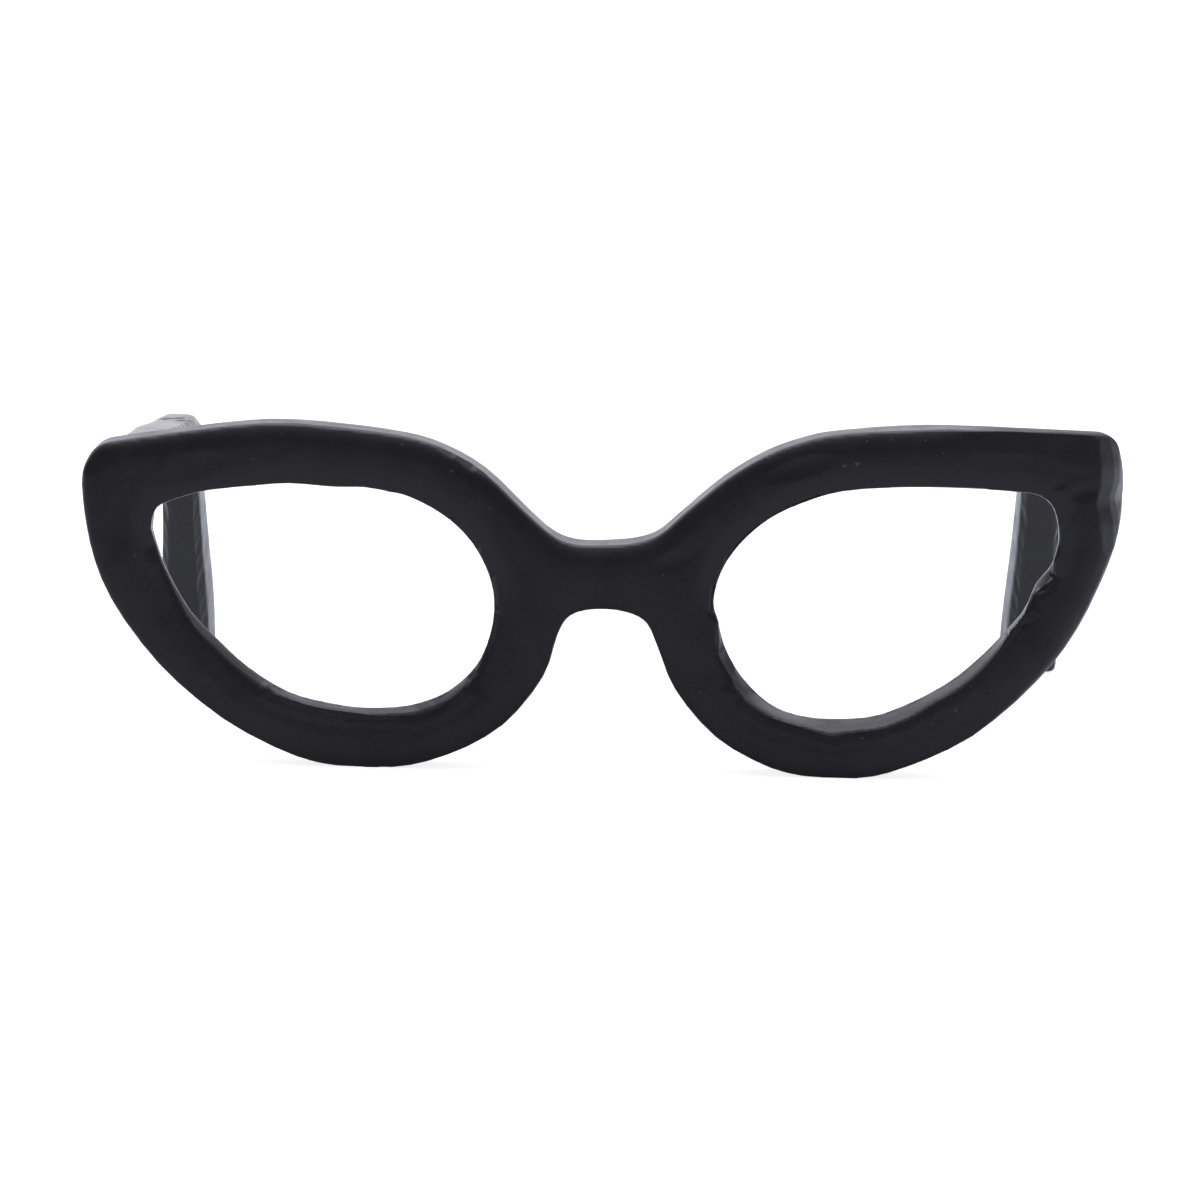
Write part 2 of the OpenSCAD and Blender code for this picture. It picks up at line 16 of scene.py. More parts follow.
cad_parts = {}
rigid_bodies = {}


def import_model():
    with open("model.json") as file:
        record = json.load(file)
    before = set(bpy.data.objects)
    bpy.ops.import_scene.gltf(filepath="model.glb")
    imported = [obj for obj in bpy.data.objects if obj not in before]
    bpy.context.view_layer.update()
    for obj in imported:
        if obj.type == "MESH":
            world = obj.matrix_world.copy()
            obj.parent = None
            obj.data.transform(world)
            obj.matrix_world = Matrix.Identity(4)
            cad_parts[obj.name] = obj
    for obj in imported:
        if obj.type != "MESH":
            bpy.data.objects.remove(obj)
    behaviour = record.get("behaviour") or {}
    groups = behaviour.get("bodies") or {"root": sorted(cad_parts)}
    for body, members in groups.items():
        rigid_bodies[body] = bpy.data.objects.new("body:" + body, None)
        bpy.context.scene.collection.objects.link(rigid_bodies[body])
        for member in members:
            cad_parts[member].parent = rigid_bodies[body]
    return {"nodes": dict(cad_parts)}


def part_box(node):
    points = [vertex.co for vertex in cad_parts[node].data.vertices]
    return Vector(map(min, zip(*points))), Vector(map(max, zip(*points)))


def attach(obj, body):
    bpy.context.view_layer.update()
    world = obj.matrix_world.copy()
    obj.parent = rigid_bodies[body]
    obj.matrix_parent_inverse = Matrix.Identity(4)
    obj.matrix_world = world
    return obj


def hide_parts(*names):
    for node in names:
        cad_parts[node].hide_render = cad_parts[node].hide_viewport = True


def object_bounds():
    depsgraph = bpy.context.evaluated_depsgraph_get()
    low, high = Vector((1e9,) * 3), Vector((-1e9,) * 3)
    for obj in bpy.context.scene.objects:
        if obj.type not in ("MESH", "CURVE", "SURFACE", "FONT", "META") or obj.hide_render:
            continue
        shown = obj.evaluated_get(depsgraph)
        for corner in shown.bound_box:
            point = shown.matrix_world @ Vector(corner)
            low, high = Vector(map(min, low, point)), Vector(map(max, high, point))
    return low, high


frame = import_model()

cad_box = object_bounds()
MM = 0.001
print("the model measures", [round((hi - lo) / MM) for lo, hi in zip(*cad_box)], "mm")

# %% [markdown]
# Blender's operators work on what is selected, and the model comes in with all its nodes selected. So each
# step first lets go of everything and picks up the one object that it works on. A modifier is set up and
# applied at once, so that the next step works on the real mesh.

# %% Pick an object, edit it, finish a modifier
def pick(piece):
    bpy.ops.object.select_all(action="DESELECT")
    piece.select_set(True)
    bpy.context.view_layer.objects.active = piece


def finish_modifier(piece, kind, **settings):
    pick(piece)
    modifier = piece.modifiers.new(kind.lower(), kind)
    for name, value in settings.items():
        setattr(modifier, name, value)
    bpy.ops.object.modifier_apply(modifier=modifier.name)


# %% [markdown]
# The casting and the temples start as copies of the model's own solids, so that they sit exactly where the
# model says. A copied solid is a heap of loose triangles, so its corners are merged first.

# %% Copy a node of the model
def copy_of(node, name):
    pick(frame["nodes"][node])
    bpy.ops.object.duplicate()
    piece = bpy.context.object
    piece.name = piece.data.name = name
    bpy.ops.object.parent_clear(type="CLEAR_KEEP_TRANSFORM")
    bpy.ops.object.mode_set(mode="EDIT")
    bpy.ops.mesh.select_all(action="SELECT")
    bpy.ops.mesh.remove_doubles(threshold=0.01 * MM)
    bpy.ops.object.mode_set(mode="OBJECT")
    print(name, "starts with", len(piece.data.vertices), "corners")
    return piece


# %% [markdown]
# The hinge leaves are let into the castings. On the real piece the castings are formed first and the
# recesses are cut last, so that the recess edges stay crisp. The same order is kept here: each recess is
# filled with a block, the surface is modelled, and the recess is cut again with a boolean.

# %% Fill a recess, cut a recess
def block(lo, hi):
    lo, hi = Vector(lo), Vector(hi)
    bpy.ops.object.select_all(action="DESELECT")
    bpy.ops.mesh.primitive_cube_add(size=1, location=(lo + hi) / 2)
    cube = bpy.context.object
    cube.scale = hi - lo
    bpy.ops.object.transform_apply(location=True, rotation=True, scale=True)
    return cube


def fill(piece, lo, hi):
    cube = block(lo, hi)
    pick(piece)
    cube.select_set(True)
    bpy.ops.object.join()


def cut(piece, lo, hi):
    cube = block(lo, hi)
    finish_modifier(piece, "BOOLEAN", operation="DIFFERENCE", object=cube, solver="EXACT")
    pick(cube)
    bpy.ops.object.delete()


def mirrored(side, lo, hi):
    """Box given for the right-hand side, on either side."""
    if side == "right":
        return lo, hi
    return (-hi[0], lo[1], lo[2]), (-lo[0], hi[1], hi[2])


# %% [markdown]
# A voxel remesh turns a solid into an even skin of small squares, like clay that is ready for the knife.
# The squares are about a millimetre. Where an edge has to be crisp they are split once more, and flat
# stretches that nobody looks at closely are thinned out again. The points are moved as arrays, because
# thousands of them move at once.

# %% Turn a solid into clay, split and thin its squares, read or move its points
def to_clay(piece, voxel):
    finish_modifier(piece, "REMESH", mode="VOXEL", voxel_size=voxel, use_smooth_shade=True)
    print(piece.name, "is clay of", len(piece.data.polygons), "squares")


def refine(piece, chosen):
    """Splits the squares whose corners are all chosen."""
    mesh = piece.data
    ends = np.empty(2 * len(mesh.edges), int)
    mesh.edges.foreach_get("vertices", ends)
    mesh.vertices.foreach_set("select", chosen)
    mesh.edges.foreach_set("select", chosen[ends.reshape(-1, 2)].all(axis=1))
    mesh.polygons.foreach_set("select", np.zeros(len(mesh.polygons), bool))
    pick(piece)
    bpy.ops.object.mode_set(mode="EDIT")
    bpy.ops.mesh.subdivide(number_cuts=1)
    bpy.ops.object.mode_set(mode="OBJECT")


def triangles_of(piece):
    return sum(len(face.vertices) - 2 for face in piece.data.polygons)


def thin_out(piece, chosen, most):
    """Joins chosen squares into larger ones until the whole piece has no more than the most triangles."""
    group = piece.vertex_groups.new(name="thin")
    group.add(np.flatnonzero(chosen).tolist(), 1, "REPLACE")
    finish_modifier(piece, "DECIMATE", ratio=min(1, most / triangles_of(piece)), vertex_group="thin")
    piece.vertex_groups.clear()


def read_points(piece, what="co"):
    values = np.empty(3 * len(piece.data.vertices))
    piece.data.vertices.foreach_get(what, values)
    return values.reshape(-1, 3)


def move_points(piece, co):
    piece.data.vertices.foreach_set("co", co.ravel())
    piece.data.update()


def tree_of(points):
    tree = KDTree(len(points))
    for i, point in enumerate(points):
        tree.insert(point, i)
    tree.balance()
    return tree


def ramp(x, start, end):
    t = np.clip((x - start) / (end - start), 0, 1)
    return t * t * (3 - 2 * t)


# %% [markdown]
# The real surface was worked by hand in two ways. A knife pared flat facets off the edges, and a thumb or
# a rounded tool pressed shallow hollows. A cut is a plane: each point beyond it moves back onto it. A
# hollow is an egg: each point inside it moves onto its shell.

# %% Pare a facet, press a hollow
def pare(co, at, normal, reach):
    """Cuts off what stands beyond a plane, near a point. The cut fades out at its reach."""
    normal = np.array(normal, float) / np.linalg.norm(normal)
    from_at = co - np.array(at)
    beyond = from_at @ normal
    fade = 1 - ramp(np.linalg.norm(from_at, axis=1), 0.75 * reach, reach)
    co -= (np.clip(beyond, 0, None) * fade)[:, None] * normal


def press(co, at, push, along, depth, half_length, half_width, belly):
    """Presses an egg in by depth along push. Its hollow lies along the direction along."""
    push = np.array(push, float) / np.linalg.norm(push)
    along = np.array(along, float) - np.dot(along, push) * push
    along /= np.linalg.norm(along)
    across = np.cross(push, along)
    reach = math.sqrt(1 - (1 - depth / belly) ** 2)
    local = (co - np.array(at) + (belly - depth) * push) @ np.array([along, across, push]).T
    flat = (local[:, 0] * reach / half_length) ** 2 + (local[:, 1] * reach / half_width) ** 2
    shell = belly * np.sqrt(np.clip(1 - flat, 0, None))
    move = np.where((flat < 1) & (local[:, 2] > 0), np.clip(shell - local[:, 2], 0, None), 0)
    co += move[:, None] * push


def swell(co, no, size, height, seed):
    """Pushes the surface in and out in soft swells of a given size."""
    shift = Vector((seed * 7.1, seed * 3.7, seed * 5.3))
    lift = np.array([noise.noise(Vector(p) / size + shift) for p in co])
    co += (height * lift)[:, None] * no


# %% [markdown]
# The front is one heavy casting. It is turned into clay with its hinge recesses filled. The squares are
# split along the front edges and over the bevels under the openings, where the knife will work.

# %% Front: clay
front_lo, front_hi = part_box("front_frame")
face_y, back_y = front_lo[1], front_hi[1]
pin_lo, pin_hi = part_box("hinge_pin_right")
HINGE_X, HINGE_Y = ((Vector(pin_lo) + Vector(pin_hi)) / 2).xy
LEAF_PLAY = 0.1 * MM
SIDES = "left", "right"
FRONT_CLAY = 1.22 * MM
FAR = 1.0      # farther off than any point here, in metres
front = copy_of("front_frame", "sculpted_front")


def front_recess(side, play, deep):
    """Box of the recess for the front's hinge leaf, open to the back."""
    leaf_lo, leaf_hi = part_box("hinge_leaf_front_right")
    return mirrored(side, (HINGE_X - 1 * MM - play, back_y - 1.5 * MM - deep, leaf_lo[2] - play),
                    (leaf_hi[0] + play, back_y, leaf_hi[2] + play))


def at_front_edge(co, no):
    """Points of the walls in a narrow band behind the face."""
    return (np.abs(no[:, 1]) < 0.3) & (co[:, 1] > face_y + 1.2 * MM) & (co[:, 1] < face_y + 4.5 * MM)


for side in SIDES:
    fill(front, *front_recess(side, 0.4 * MM, 11 * MM))
to_clay(front, FRONT_CLAY)
co, no = read_points(front), read_points(front, "normal")
edges = tree_of(co[at_front_edge(co, no)] * (1, 0, 1))
to_edge = np.array([edges.find((p[0], 0, p[2]))[2] if p[1] < face_y + 4 * MM else FAR for p in co])
tilted = (np.abs(no[:, 1]) > 0.2) & (np.abs(no[:, 1]) < 0.93) & (co[:, 1] < face_y + 17 * MM)
refine(front, (to_edge < 2.3 * MM) | tilted)
print("squares split along the edges:", len(front.data.polygons), "in all")

# %% [markdown]
# Under each opening the edge was pared off in a broad bevel that catches the light from above. The model
# has it at an even width. By hand it came out uneven: its crease wanders over the face, while its upper
# edge, the ridge, stays where the opening ends. So the crease is laid along a line of places here, and the
# clay between crease and ridge is reshaped to a profile that is soft at the crease. On the nose side of the
# right opening a plain knife slope leads into it.

# %% Front: creases of the bevels
# Places x, z along each crease, in millimetres
CREASES = {
    "left": [(-136, 33), (-131.5, 29), (-124, 27), (-118, 25), (-109.5, 23.5), (-100, 22.5), (-89.5, 21.5),
             (-82, 22), (-75, 21.5), (-68.5, 23.5), (-64, 25), (-58, 30), (-53, 36)],
    "right": [(53, 38), (56, 33.5), (60, 29.5), (67, 25), (75, 22.5), (83, 20.5), (89.5, 18.5), (95, 17),
              (98.5, 18.5), (105.5, 19.5), (114, 20.5), (121, 23), (129, 27), (136, 32), (141.5, 35), (148, 39),
              (153, 44), (157, 48.5), (161.5, 55), (165.3, 62), (168.5, 67), (172, 73.5)],
}
NOSE_CREASE = [(44, 62), (45.5, 54), (48, 47), (52, 40.5), (56, 35), (61, 30)]
# Share of the bevel's width, and share of its depth that is reached there
BEVEL_PROFILE = [(0, 0), (0.2, 0.07), (0.45, 0.24), (0.7, 0.54), (1, 1)]
print("creases drawn through", [len(line) for line in CREASES.values()], "places")

# %% [markdown]
# A crease drawn through a few places is rounded by cutting its corners twice. Every point of the clay then
# gets its height above the crease and its place along it, and the model's ridge is looked up the same way.

# %% Front: measure the clay along a crease
def rounded(line, rounds=2):
    """Cuts the corners of a line of places, so that it runs in a smooth curve."""
    for n in range(rounds):
        line = [line[0]] + [tuple((1 - t) * a + t * b for a, b in zip(*pair))
                            for pair in zip(line, line[1:]) for t in (0.25, 0.75)] + [line[-1]]
    return line


def follow(co, line):
    """How far each point lies above a line on the face, its place along the line, and its step off the line."""
    xz, line = co[:, ::2], np.array(line) * MM
    gap, above, place, off = np.full(len(co), FAR), np.zeros(len(co)), np.zeros(len(co)), np.zeros((len(co), 2))
    for i, (a, b) in enumerate(zip(line, line[1:])):
        share = np.clip((xz - a) @ (b - a) / ((b - a) @ (b - a)), 0, 1)
        step = xz - a - share[:, None] * (b - a)
        far = np.linalg.norm(step, axis=1)
        side = step @ np.array((a[1] - b[1], b[0] - a[0]))
        near = far < gap
        gap[near], above[near] = far[near], np.copysign(far, side)[near]
        place[near], off[near] = i + share[near], step[near]
    return above, place, off


def ridge_above(co, no, above, place, corners):
    """Width and depth of the model's bevel, measured from each corner of the crease to the ridge."""
    sloping = (no[:, 1] < -0.27) & (no[:, 1] > -0.8) & (above > 0.4 * MM) & (above < 11 * MM)
    found = []
    for i in range(corners):
        here = np.flatnonzero(sloping & (np.abs(place - i) < 0.6))
        if len(here) > 5:
            deepest = here[np.argsort(co[here, 1])[-max(3, len(here) // 12):]]
            found.append((i, above[deepest].mean(), co[deepest, 1].mean() - face_y))
    at, wide, deep = zip(*found)
    even = np.ones(5) / 5
    return [np.convolve(np.pad(np.interp(range(corners), at, values), 2, "edge"), even, "valid")
            for values in (wide, deep)]


# %% [markdown]
# Two ways to make a bevel along a crease: a knife slope that simply starts there, and a profile that ends in
# the model's ridge, so that the opening keeps its outline.

# %% Front: bevels under the openings
KNIFE_REACH, KNIFE_DEPTH = 16 * MM, 20 * MM


def bevel_along(co, line, tilt, shift=0, fade=3):
    """Pares back to a slope that meets the face in a crease along a line, or shifted from it."""
    above, place, off = follow(co, line)
    lean = math.radians(tilt)
    beyond = (above - shift * MM) * math.sin(lean) - (co[:, 1] - face_y) * math.cos(lean)
    share = ramp(place, 0, fade) * (1 - ramp(place, len(line) - 1 - fade, len(line) - 1))
    near = (np.abs(above) < KNIFE_REACH) & (co[:, 1] < face_y + KNIFE_DEPTH)
    amount = np.clip(beyond, 0, None) * share * near
    out = off / np.maximum(np.abs(above), 1e-6)[:, None]
    co[:, ::2] -= (amount * math.sin(lean))[:, None] * out
    co[:, 1] += amount * math.cos(lean)


def reshape_bevel(co, no, line):
    """Gives the bevel above a crease its profile, between the crease and the model's ridge."""
    line = rounded(line)
    above, place, off = follow(co, line)
    wide, deep = ridge_above(co, no, above, place, len(line))
    print("bevel is", (min(wide) / MM).round(1), "to", (max(wide) / MM).round(1), "mm wide and up to",
          (max(deep) / MM).round(1), "mm deep")
    corners = np.arange(len(line))
    width, depth = np.interp(place, corners, wide), np.interp(place, corners, deep)
    share = np.interp(above / width, *zip(*BEVEL_PROFILE))
    target = face_y + depth * share
    here = (above > -5 * MM) & (above < 1.02 * width) & (co[:, 1] < face_y + depth) & (np.abs(no[:, 1]) > 0.2)
    blend = ramp(place, 0, 4) * (1 - ramp(place, len(line) - 5, len(line) - 1)) * here
    co[:, 1] += blend * (target - co[:, 1])
    onto = (np.abs(above) < 0.3 * MM) & (co[:, 1] < face_y + 1.5 * MM) & (blend > 0.9)
    co[np.ix_(onto, (0, 2))] -= off[onto]


co, no = read_points(front), read_points(front, "normal")
for line in CREASES.values():
    reshape_bevel(co, no, line)
bevel_along(co, rounded(NOSE_CREASE), 56, fade=9)

# %% [markdown]
# The model rounds the top edge widely at the viewer's right-hand end. The real edge only has a narrow
# chamfer there, and the top behind it falls a little to the back. So the rounded clay is brought forward to
# the chamfer, by its distance from the top, and the top is lifted towards the face.

# %% Front: narrow top edge at the right-hand end
CHAMFER_WIDTH, CHAMFER_DEPTH = 1.1, 2.6 * MM
TOP_SLOPE = 0.055
high = co[(np.abs(no[:, 1]) < 0.25) & (no[:, 2] > 0.5) & (co[:, 2] > 120 * MM) & (co[:, 1] > face_y + 6 * MM)]
high = tree_of(high * (1, 0, 1))
to_high = np.array([high.find((p[0], 0, p[2]))[2] if p[0] > 135 * MM else FAR for p in co]) / MM
chamfer = face_y + CHAMFER_DEPTH * np.clip(1 - to_high / CHAMFER_WIDTH, 0, 1) ** 1.5
share = ramp(co[:, 0], 138 * MM, 150 * MM) * (1 - ramp(co[:, 0], 192 * MM, 203 * MM))
forward = (to_high < 14) & (co[:, 1] < face_y + 5.5 * MM) & (co[:, 1] > chamfer)
co[:, 1] += share * forward * (chamfer - co[:, 1])
slope = TOP_SLOPE * ramp(co[:, 0], 125 * MM, 170 * MM) * ramp(co[:, 2], 118 * MM, 138 * MM)
co[:, 2] += slope * (back_y - co[:, 1])
move_points(front, co)
print("chamfer of", CHAMFER_WIDTH, "mm along", np.count_nonzero(share * forward > 0.5), "points of the top edge")

# %% [markdown]
# The face isn't flat: it rolls off softly towards both edges of the rims, which is what gives it its quiet
# gradient. The roll follows each point's distance from the nearest wall. The brows roll back once more
# under their top edge. Swells of two sizes go over it all.

# %% Front: soft roll and swells of the face
ROLL_WIDTH, ROLL_DROP = 12.5 * MM, 0.95 * MM
BROW_ROLL_WIDTH, BROW_ROLL_DROP = 8 * MM, 1.25 * MM
edge_co, edge_no = co[at_front_edge(co, no)].copy(), no[at_front_edge(co, no)].copy()
edges = tree_of(edge_co * (1, 0, 1))
no = read_points(front, "normal")
near_face = ramp(co[:, 1], (face_y + back_y) / 2, face_y + 2 * MM)
walls = tree_of(co[np.abs(no[:, 1]) < 0.35] * (1, 0, 1))
to_wall = np.array([walls.find((p[0], 0, p[2]))[2] for p in co])
co[:, 1] += ROLL_DROP * near_face * np.clip(1 - to_wall / ROLL_WIDTH, 0, 1) ** 2
tops = tree_of(co[(np.abs(no[:, 1]) < 0.35) & (no[:, 2] > 0.5) & (co[:, 2] > 80 * MM)] * (1, 0, 1))
to_top = np.array([tops.find((p[0], 0, p[2]))[2] for p in co])
brow_roll = BROW_ROLL_DROP * near_face * np.clip(1 - to_top / BROW_ROLL_WIDTH, 0, 1) ** 2
co[:, 1] += brow_roll * (1 - ramp(co[:, 0], 130 * MM, 160 * MM))
swell(co, no, 0.045, 0.35 * MM, 1)
swell(co, no, 0.014, 0.12 * MM, 2)
move_points(front, co)
print("face rolls back by up to", ROLL_DROP / MM, "mm at its edges")

# %% [markdown]
# The other edges were whittled, cut beside cut, so that a thin light line wanders along them. Each cut
# finds the wall nearest to the place where it is wanted, and takes its direction from that wall. Most cuts
# are small and their places come from a seeded list, which leaves out the notch on the right-hand side.
# The strong ones are placed one by one.

# %% Front: whittled edges
def whittle(x, z, width, tilt, reach, turn):
    """Pares a facet of a given width off the face's edge nearest to x, z. All in millimetres and degrees."""
    i = edges.find((x * MM, 0, z * MM))[1]
    out = Vector((edge_no[i][0], 0, edge_no[i][2])).normalized()
    out.rotate(Quaternion((0, 1, 0), math.radians(turn)))
    lean = math.radians(tilt)
    normal = math.sin(lean) * out + Vector((0, -math.cos(lean), 0))
    corner = Vector((edge_co[i][0], face_y + 0.6 * MM, edge_co[i][2]))
    pare(co, corner - width * MM * math.sin(lean) * normal, normal, reach * MM)


# The edges round the openings are those whose walls look at an opening's middle
SMALL_CUTS = 80
NOTCH_X, NOTCH_Z, NOTCH_CLEAR = 178 * MM, 80 * MM, 14 * MM
centre_x = np.copysign(114, edge_co[:, 0]) * MM
round_openings = ((edge_no[:, 0] * (centre_x - edge_co[:, 0]) + edge_no[:, 2] * (70 * MM - edge_co[:, 2]) > 0)
                  & (np.abs(edge_co[:, 0]) > 38 * MM))
opening_co = edge_co[round_openings]
plain_co = opening_co[np.hypot(opening_co[:, 0] - NOTCH_X, opening_co[:, 2] - NOTCH_Z) > NOTCH_CLEAR]
chance = random.Random(4)
for n in range(SMALL_CUTS):
    spot = plain_co[chance.randrange(len(plain_co))] / MM
    whittle(spot[0], spot[2], chance.uniform(0.6, 1.3), chance.uniform(34, 60), chance.uniform(2.5, 4.2),
            chance.uniform(-10, 10))
print("edges whittled with", SMALL_CUTS, "small cuts")

# %% [markdown]
# The strong cuts are the ones that give each opening its own outline, so each has its own place.

# %% Front: strong cuts
# Place x, z; width of the facet on the face; tilt from the face; reach; turn
HAND_CUTS = [
    # Left opening: upper right kink and nose side, then the lower left
    (-98, 114, 2.2, 50, 4, 0), (-119, 115, 1.8, 50, 4, 0), (-58.5, 99, 3.2, 40, 5, 10),
    (-54, 95, 3.6, 38, 8, 0), (-47.5, 85, 2.4, 40, 7, 0), (-43.5, 72, 2.8, 42, 9, 0),
    (-43.5, 58, 3.2, 40, 9, 0), (-47, 46, 3.4, 38, 8, 0), (-154, 50, 1.8, 60, 8, 0),
    # Right opening: upper left facets and nose side, then the upper outer corner
    (54, 92, 3.0, 42, 7, 0), (62, 100, 2.8, 42, 8, 0), (70, 106.5, 3.0, 40, 7, 0), (82, 111.5, 2.2, 46, 8, 0),
    (45, 72, 2.2, 46, 7, 0), (46, 63, 1.6, 46, 4.5, 0), (181, 111, 1.6, 46, 3.6, 0), (175, 116.5, 1.6, 46, 3.6, 0),
    # Top edge: notch and long wedge on the left brow, bumps beside the bridge
    (-101, 137, 2.4, 42, 4.5, 12), (-66, 131, 2.2, 52, 8, 8), (-57, 127, 2.6, 55, 8, 8),
    (-50, 123, 2.4, 55, 6, 0), (19, 93, 2.2, 45, 4, 0), (25, 98, 2.4, 45, 5, 0), (52, 121, 1.8, 55, 10, 0),
    (64, 129, 2.0, 55, 10, 0),
]
for cut_at in HAND_CUTS:
    whittle(*cut_at)
print("edges whittled with", len(HAND_CUTS), "strong cuts")

# %% [markdown]
# At the viewer's right-hand end the face turns back in a broad soft bevel, where the casting was dressed
# most. It is pared in three steps, each steeper than the last. A thumb has pressed it here and there, and
# elsewhere the face only has a few shallow hollows.

# %% Front: dressed end
END_CREASE = [(195.5, 143), (198.3, 133), (199.2, 124), (196.7, 115.5), (199.8, 103.5), (198.5, 87), (196, 79),
              (192, 70)]
END_STEPS = [(0, 40), (2.4, 54), (4.8, 66)]      # distance from the crease; tilt from the face
for shift, tilt in END_STEPS:
    bevel_along(co, rounded(END_CREASE), tilt, shift)
print("end dressed in", len(END_STEPS), "steps")

# %% [markdown]
# After the hollows the clay is smoothed once, as a wet finger would, and thinned out towards the back, which
# is plain. Only then are the hinge recesses cut, so that their edges stay sharp.

# %% Front: hollows, then the hinge recesses
# Place x, z; direction across the face; depth; half length; half width
HOLLOWS = [
    # Dressed end
    ((193, 118.5), (1, 0.35), 0.6, 6.5, 3.2), ((204, 97), (0.1, 1), 0.5, 8, 3),
    ((202, 88), (0.4, 1), 0.4, 5, 2.6),
    # Notch of the right opening
    ((170.5, 71), (0.5, 1), 0.8, 3.2, 1.3), ((173.5, 68.5), (0.3, 1), 0.6, 3, 1.2),
    ((171, 65), (1, 0.8), 0.5, 4, 2),
    # Face
    ((111, 121.5), (1, 0.05), 0.45, 11, 4.5), ((179, 119), (0.8, 0.6), 0.5, 8, 3.2),
    ((187, 109), (0.3, 1), 0.4, 7, 3), ((-80, 15), (0.1, 1), 0.3, 9, 3), ((-88, 13), (0, 1), 0.25, 8, 3.5),
    ((-128, 133), (0.15, 1), 0.25, 7, 3), ((-112, 132), (0, 1), 0.25, 6, 3), ((120, 13), (1, 0.3), 0.3, 12, 4),
    ((-165, 118), (1, 0.4), 0.3, 12, 5), ((-195, 95), (0.2, 1), 0.35, 14, 5), ((30, 88), (1, 0.4), 0.3, 9, 4),
    ((40, 40), (0.5, 1), 0.3, 10, 4), ((160, 128), (1, 0), 0.3, 16, 4), ((75, 126), (1, 0.3), 0.3, 12, 4),
    ((150, 25), (1, 0.7), 0.35, 9, 4),
]
for (x, z), (ax, az), depth, half_length, half_width in HOLLOWS:
    press(co, (x * MM, face_y + 0.6 * MM, z * MM), (0, 1, 0), (ax, 0, az), depth * MM, half_length * MM,
          half_width * MM, 6 * MM)
move_points(front, co)
finish_modifier(front, "SMOOTH", factor=0.5, iterations=1)
before = triangles_of(front)
thin_out(front, read_points(front)[:, 1] > face_y + 17 * MM, 0.8 * before)
for side in SIDES:
    cut(front, *front_recess(side, LEAF_PLAY, 0))
print("front thinned from", before, "to", triangles_of(front), "triangles")

# %% [markdown]
# Small faults stay in a hand-made casting: pinholes where a bubble burst, pits and short scratches. Fine
# dust and wax collect in them and show pale. Near the openings' upper edges the coat is painted lighter as a
# painted sheen and made glossier, and the lacquer is duller along the top edge of the right-hand end. The
# squares are split finely under each mark, the mark is pressed in, and three point attributes tell the
# lacquer where dust lies, where the sheen is painted and where it is dull. Nothing may stand out of the
# model's own box.

# %% Front: small marks
# Place x, z; direction; half length and half width; depth; how much dust it holds
MARKS = [
    ((-141, 124.5), (1, 0), 0.5, 0.4, 0.3, 0.6), ((-129.5, 135), (1, 0), 0.4, 0.4, 0.3, 0.6),
    ((-151, 119), (1, 0), 0.4, 0.3, 0.25, 0.5), ((-189.5, 101), (1, 0), 0.4, 0.4, 0.25, 0.5),
    ((-188, 84.5), (0.6, 1), 1.6, 0.3, 0.2, 0.5), ((-61, 121.5), (1, 0.5), 0.9, 0.4, 0.25, 0.4),
    ((-45.5, 107), (0.3, 1), 0.8, 0.4, 0.25, 0.4), ((96.5, 127), (1, 0.3), 1.1, 0.7, 0.35, 0.5),
    ((101.5, 128), (1, 0.2), 1.4, 0.8, 0.35, 0.5), ((105, 137.5), (1, 0), 0.5, 0.3, 0.2, 0.8),
    ((115, 138), (1, 0), 0.5, 0.3, 0.2, 0.8), ((136, 133), (1, 0), 0.4, 0.4, 0.25, 0.6),
    ((130, 127), (1, 0), 0.4, 0.3, 0.2, 0.6), ((128.5, 138), (1, 0), 0.5, 0.3, 0.2, 0.7),
    ((-0.5, 76.5), (1, 0), 0.7, 0.5, 0.3, 0.4), ((31, 76.5), (1, 0.4), 0.6, 0.4, 0.3, 0.4),
    ((24.5, 81.5), (1, 0), 0.5, 0.5, 0.3, 0.4), ((17, 75), (1, 0.2), 0.6, 0.4, 0.3, 0.4),
    ((106.5, 16.5), (0.3, 1), 0.7, 0.4, 0.25, 0.6), ((134.5, 23), (1, 0), 0.4, 0.4, 0.25, 0.6),
    ((144, 29), (0.6, 1), 1.3, 0.7, 0.3, 0.5), ((150, 39), (1, 0), 0.4, 0.4, 0.25, 0.6),
    ((157.5, 37.5), (1, 0.4), 0.6, 0.4, 0.25, 0.6), ((162, 35.5), (1, 0), 0.4, 0.3, 0.2, 0.5),
    ((66, 23.5), (1, 0), 0.4, 0.4, 0.25, 0.6), ((38.5, 53.5), (1, 0), 0.4, 0.3, 0.25, 0.6),
    ((41, 34), (0.3, 1), 0.5, 0.4, 0.25, 0.6),
]
SPLIT_REACHES = 2, 1.3, 0.9      # round each mark, in millimetres, one for each round of splitting


def on_face(co, x, z):
    """The point of the face at x, z in millimetres."""
    near = np.flatnonzero((np.abs(co[:, 0] - x * MM) < 3 * MM) & (co[:, 1] < face_y + 8 * MM))
    return co[near[np.argmin(np.hypot(co[near, 0] - x * MM, co[near, 2] - z * MM))]].copy()


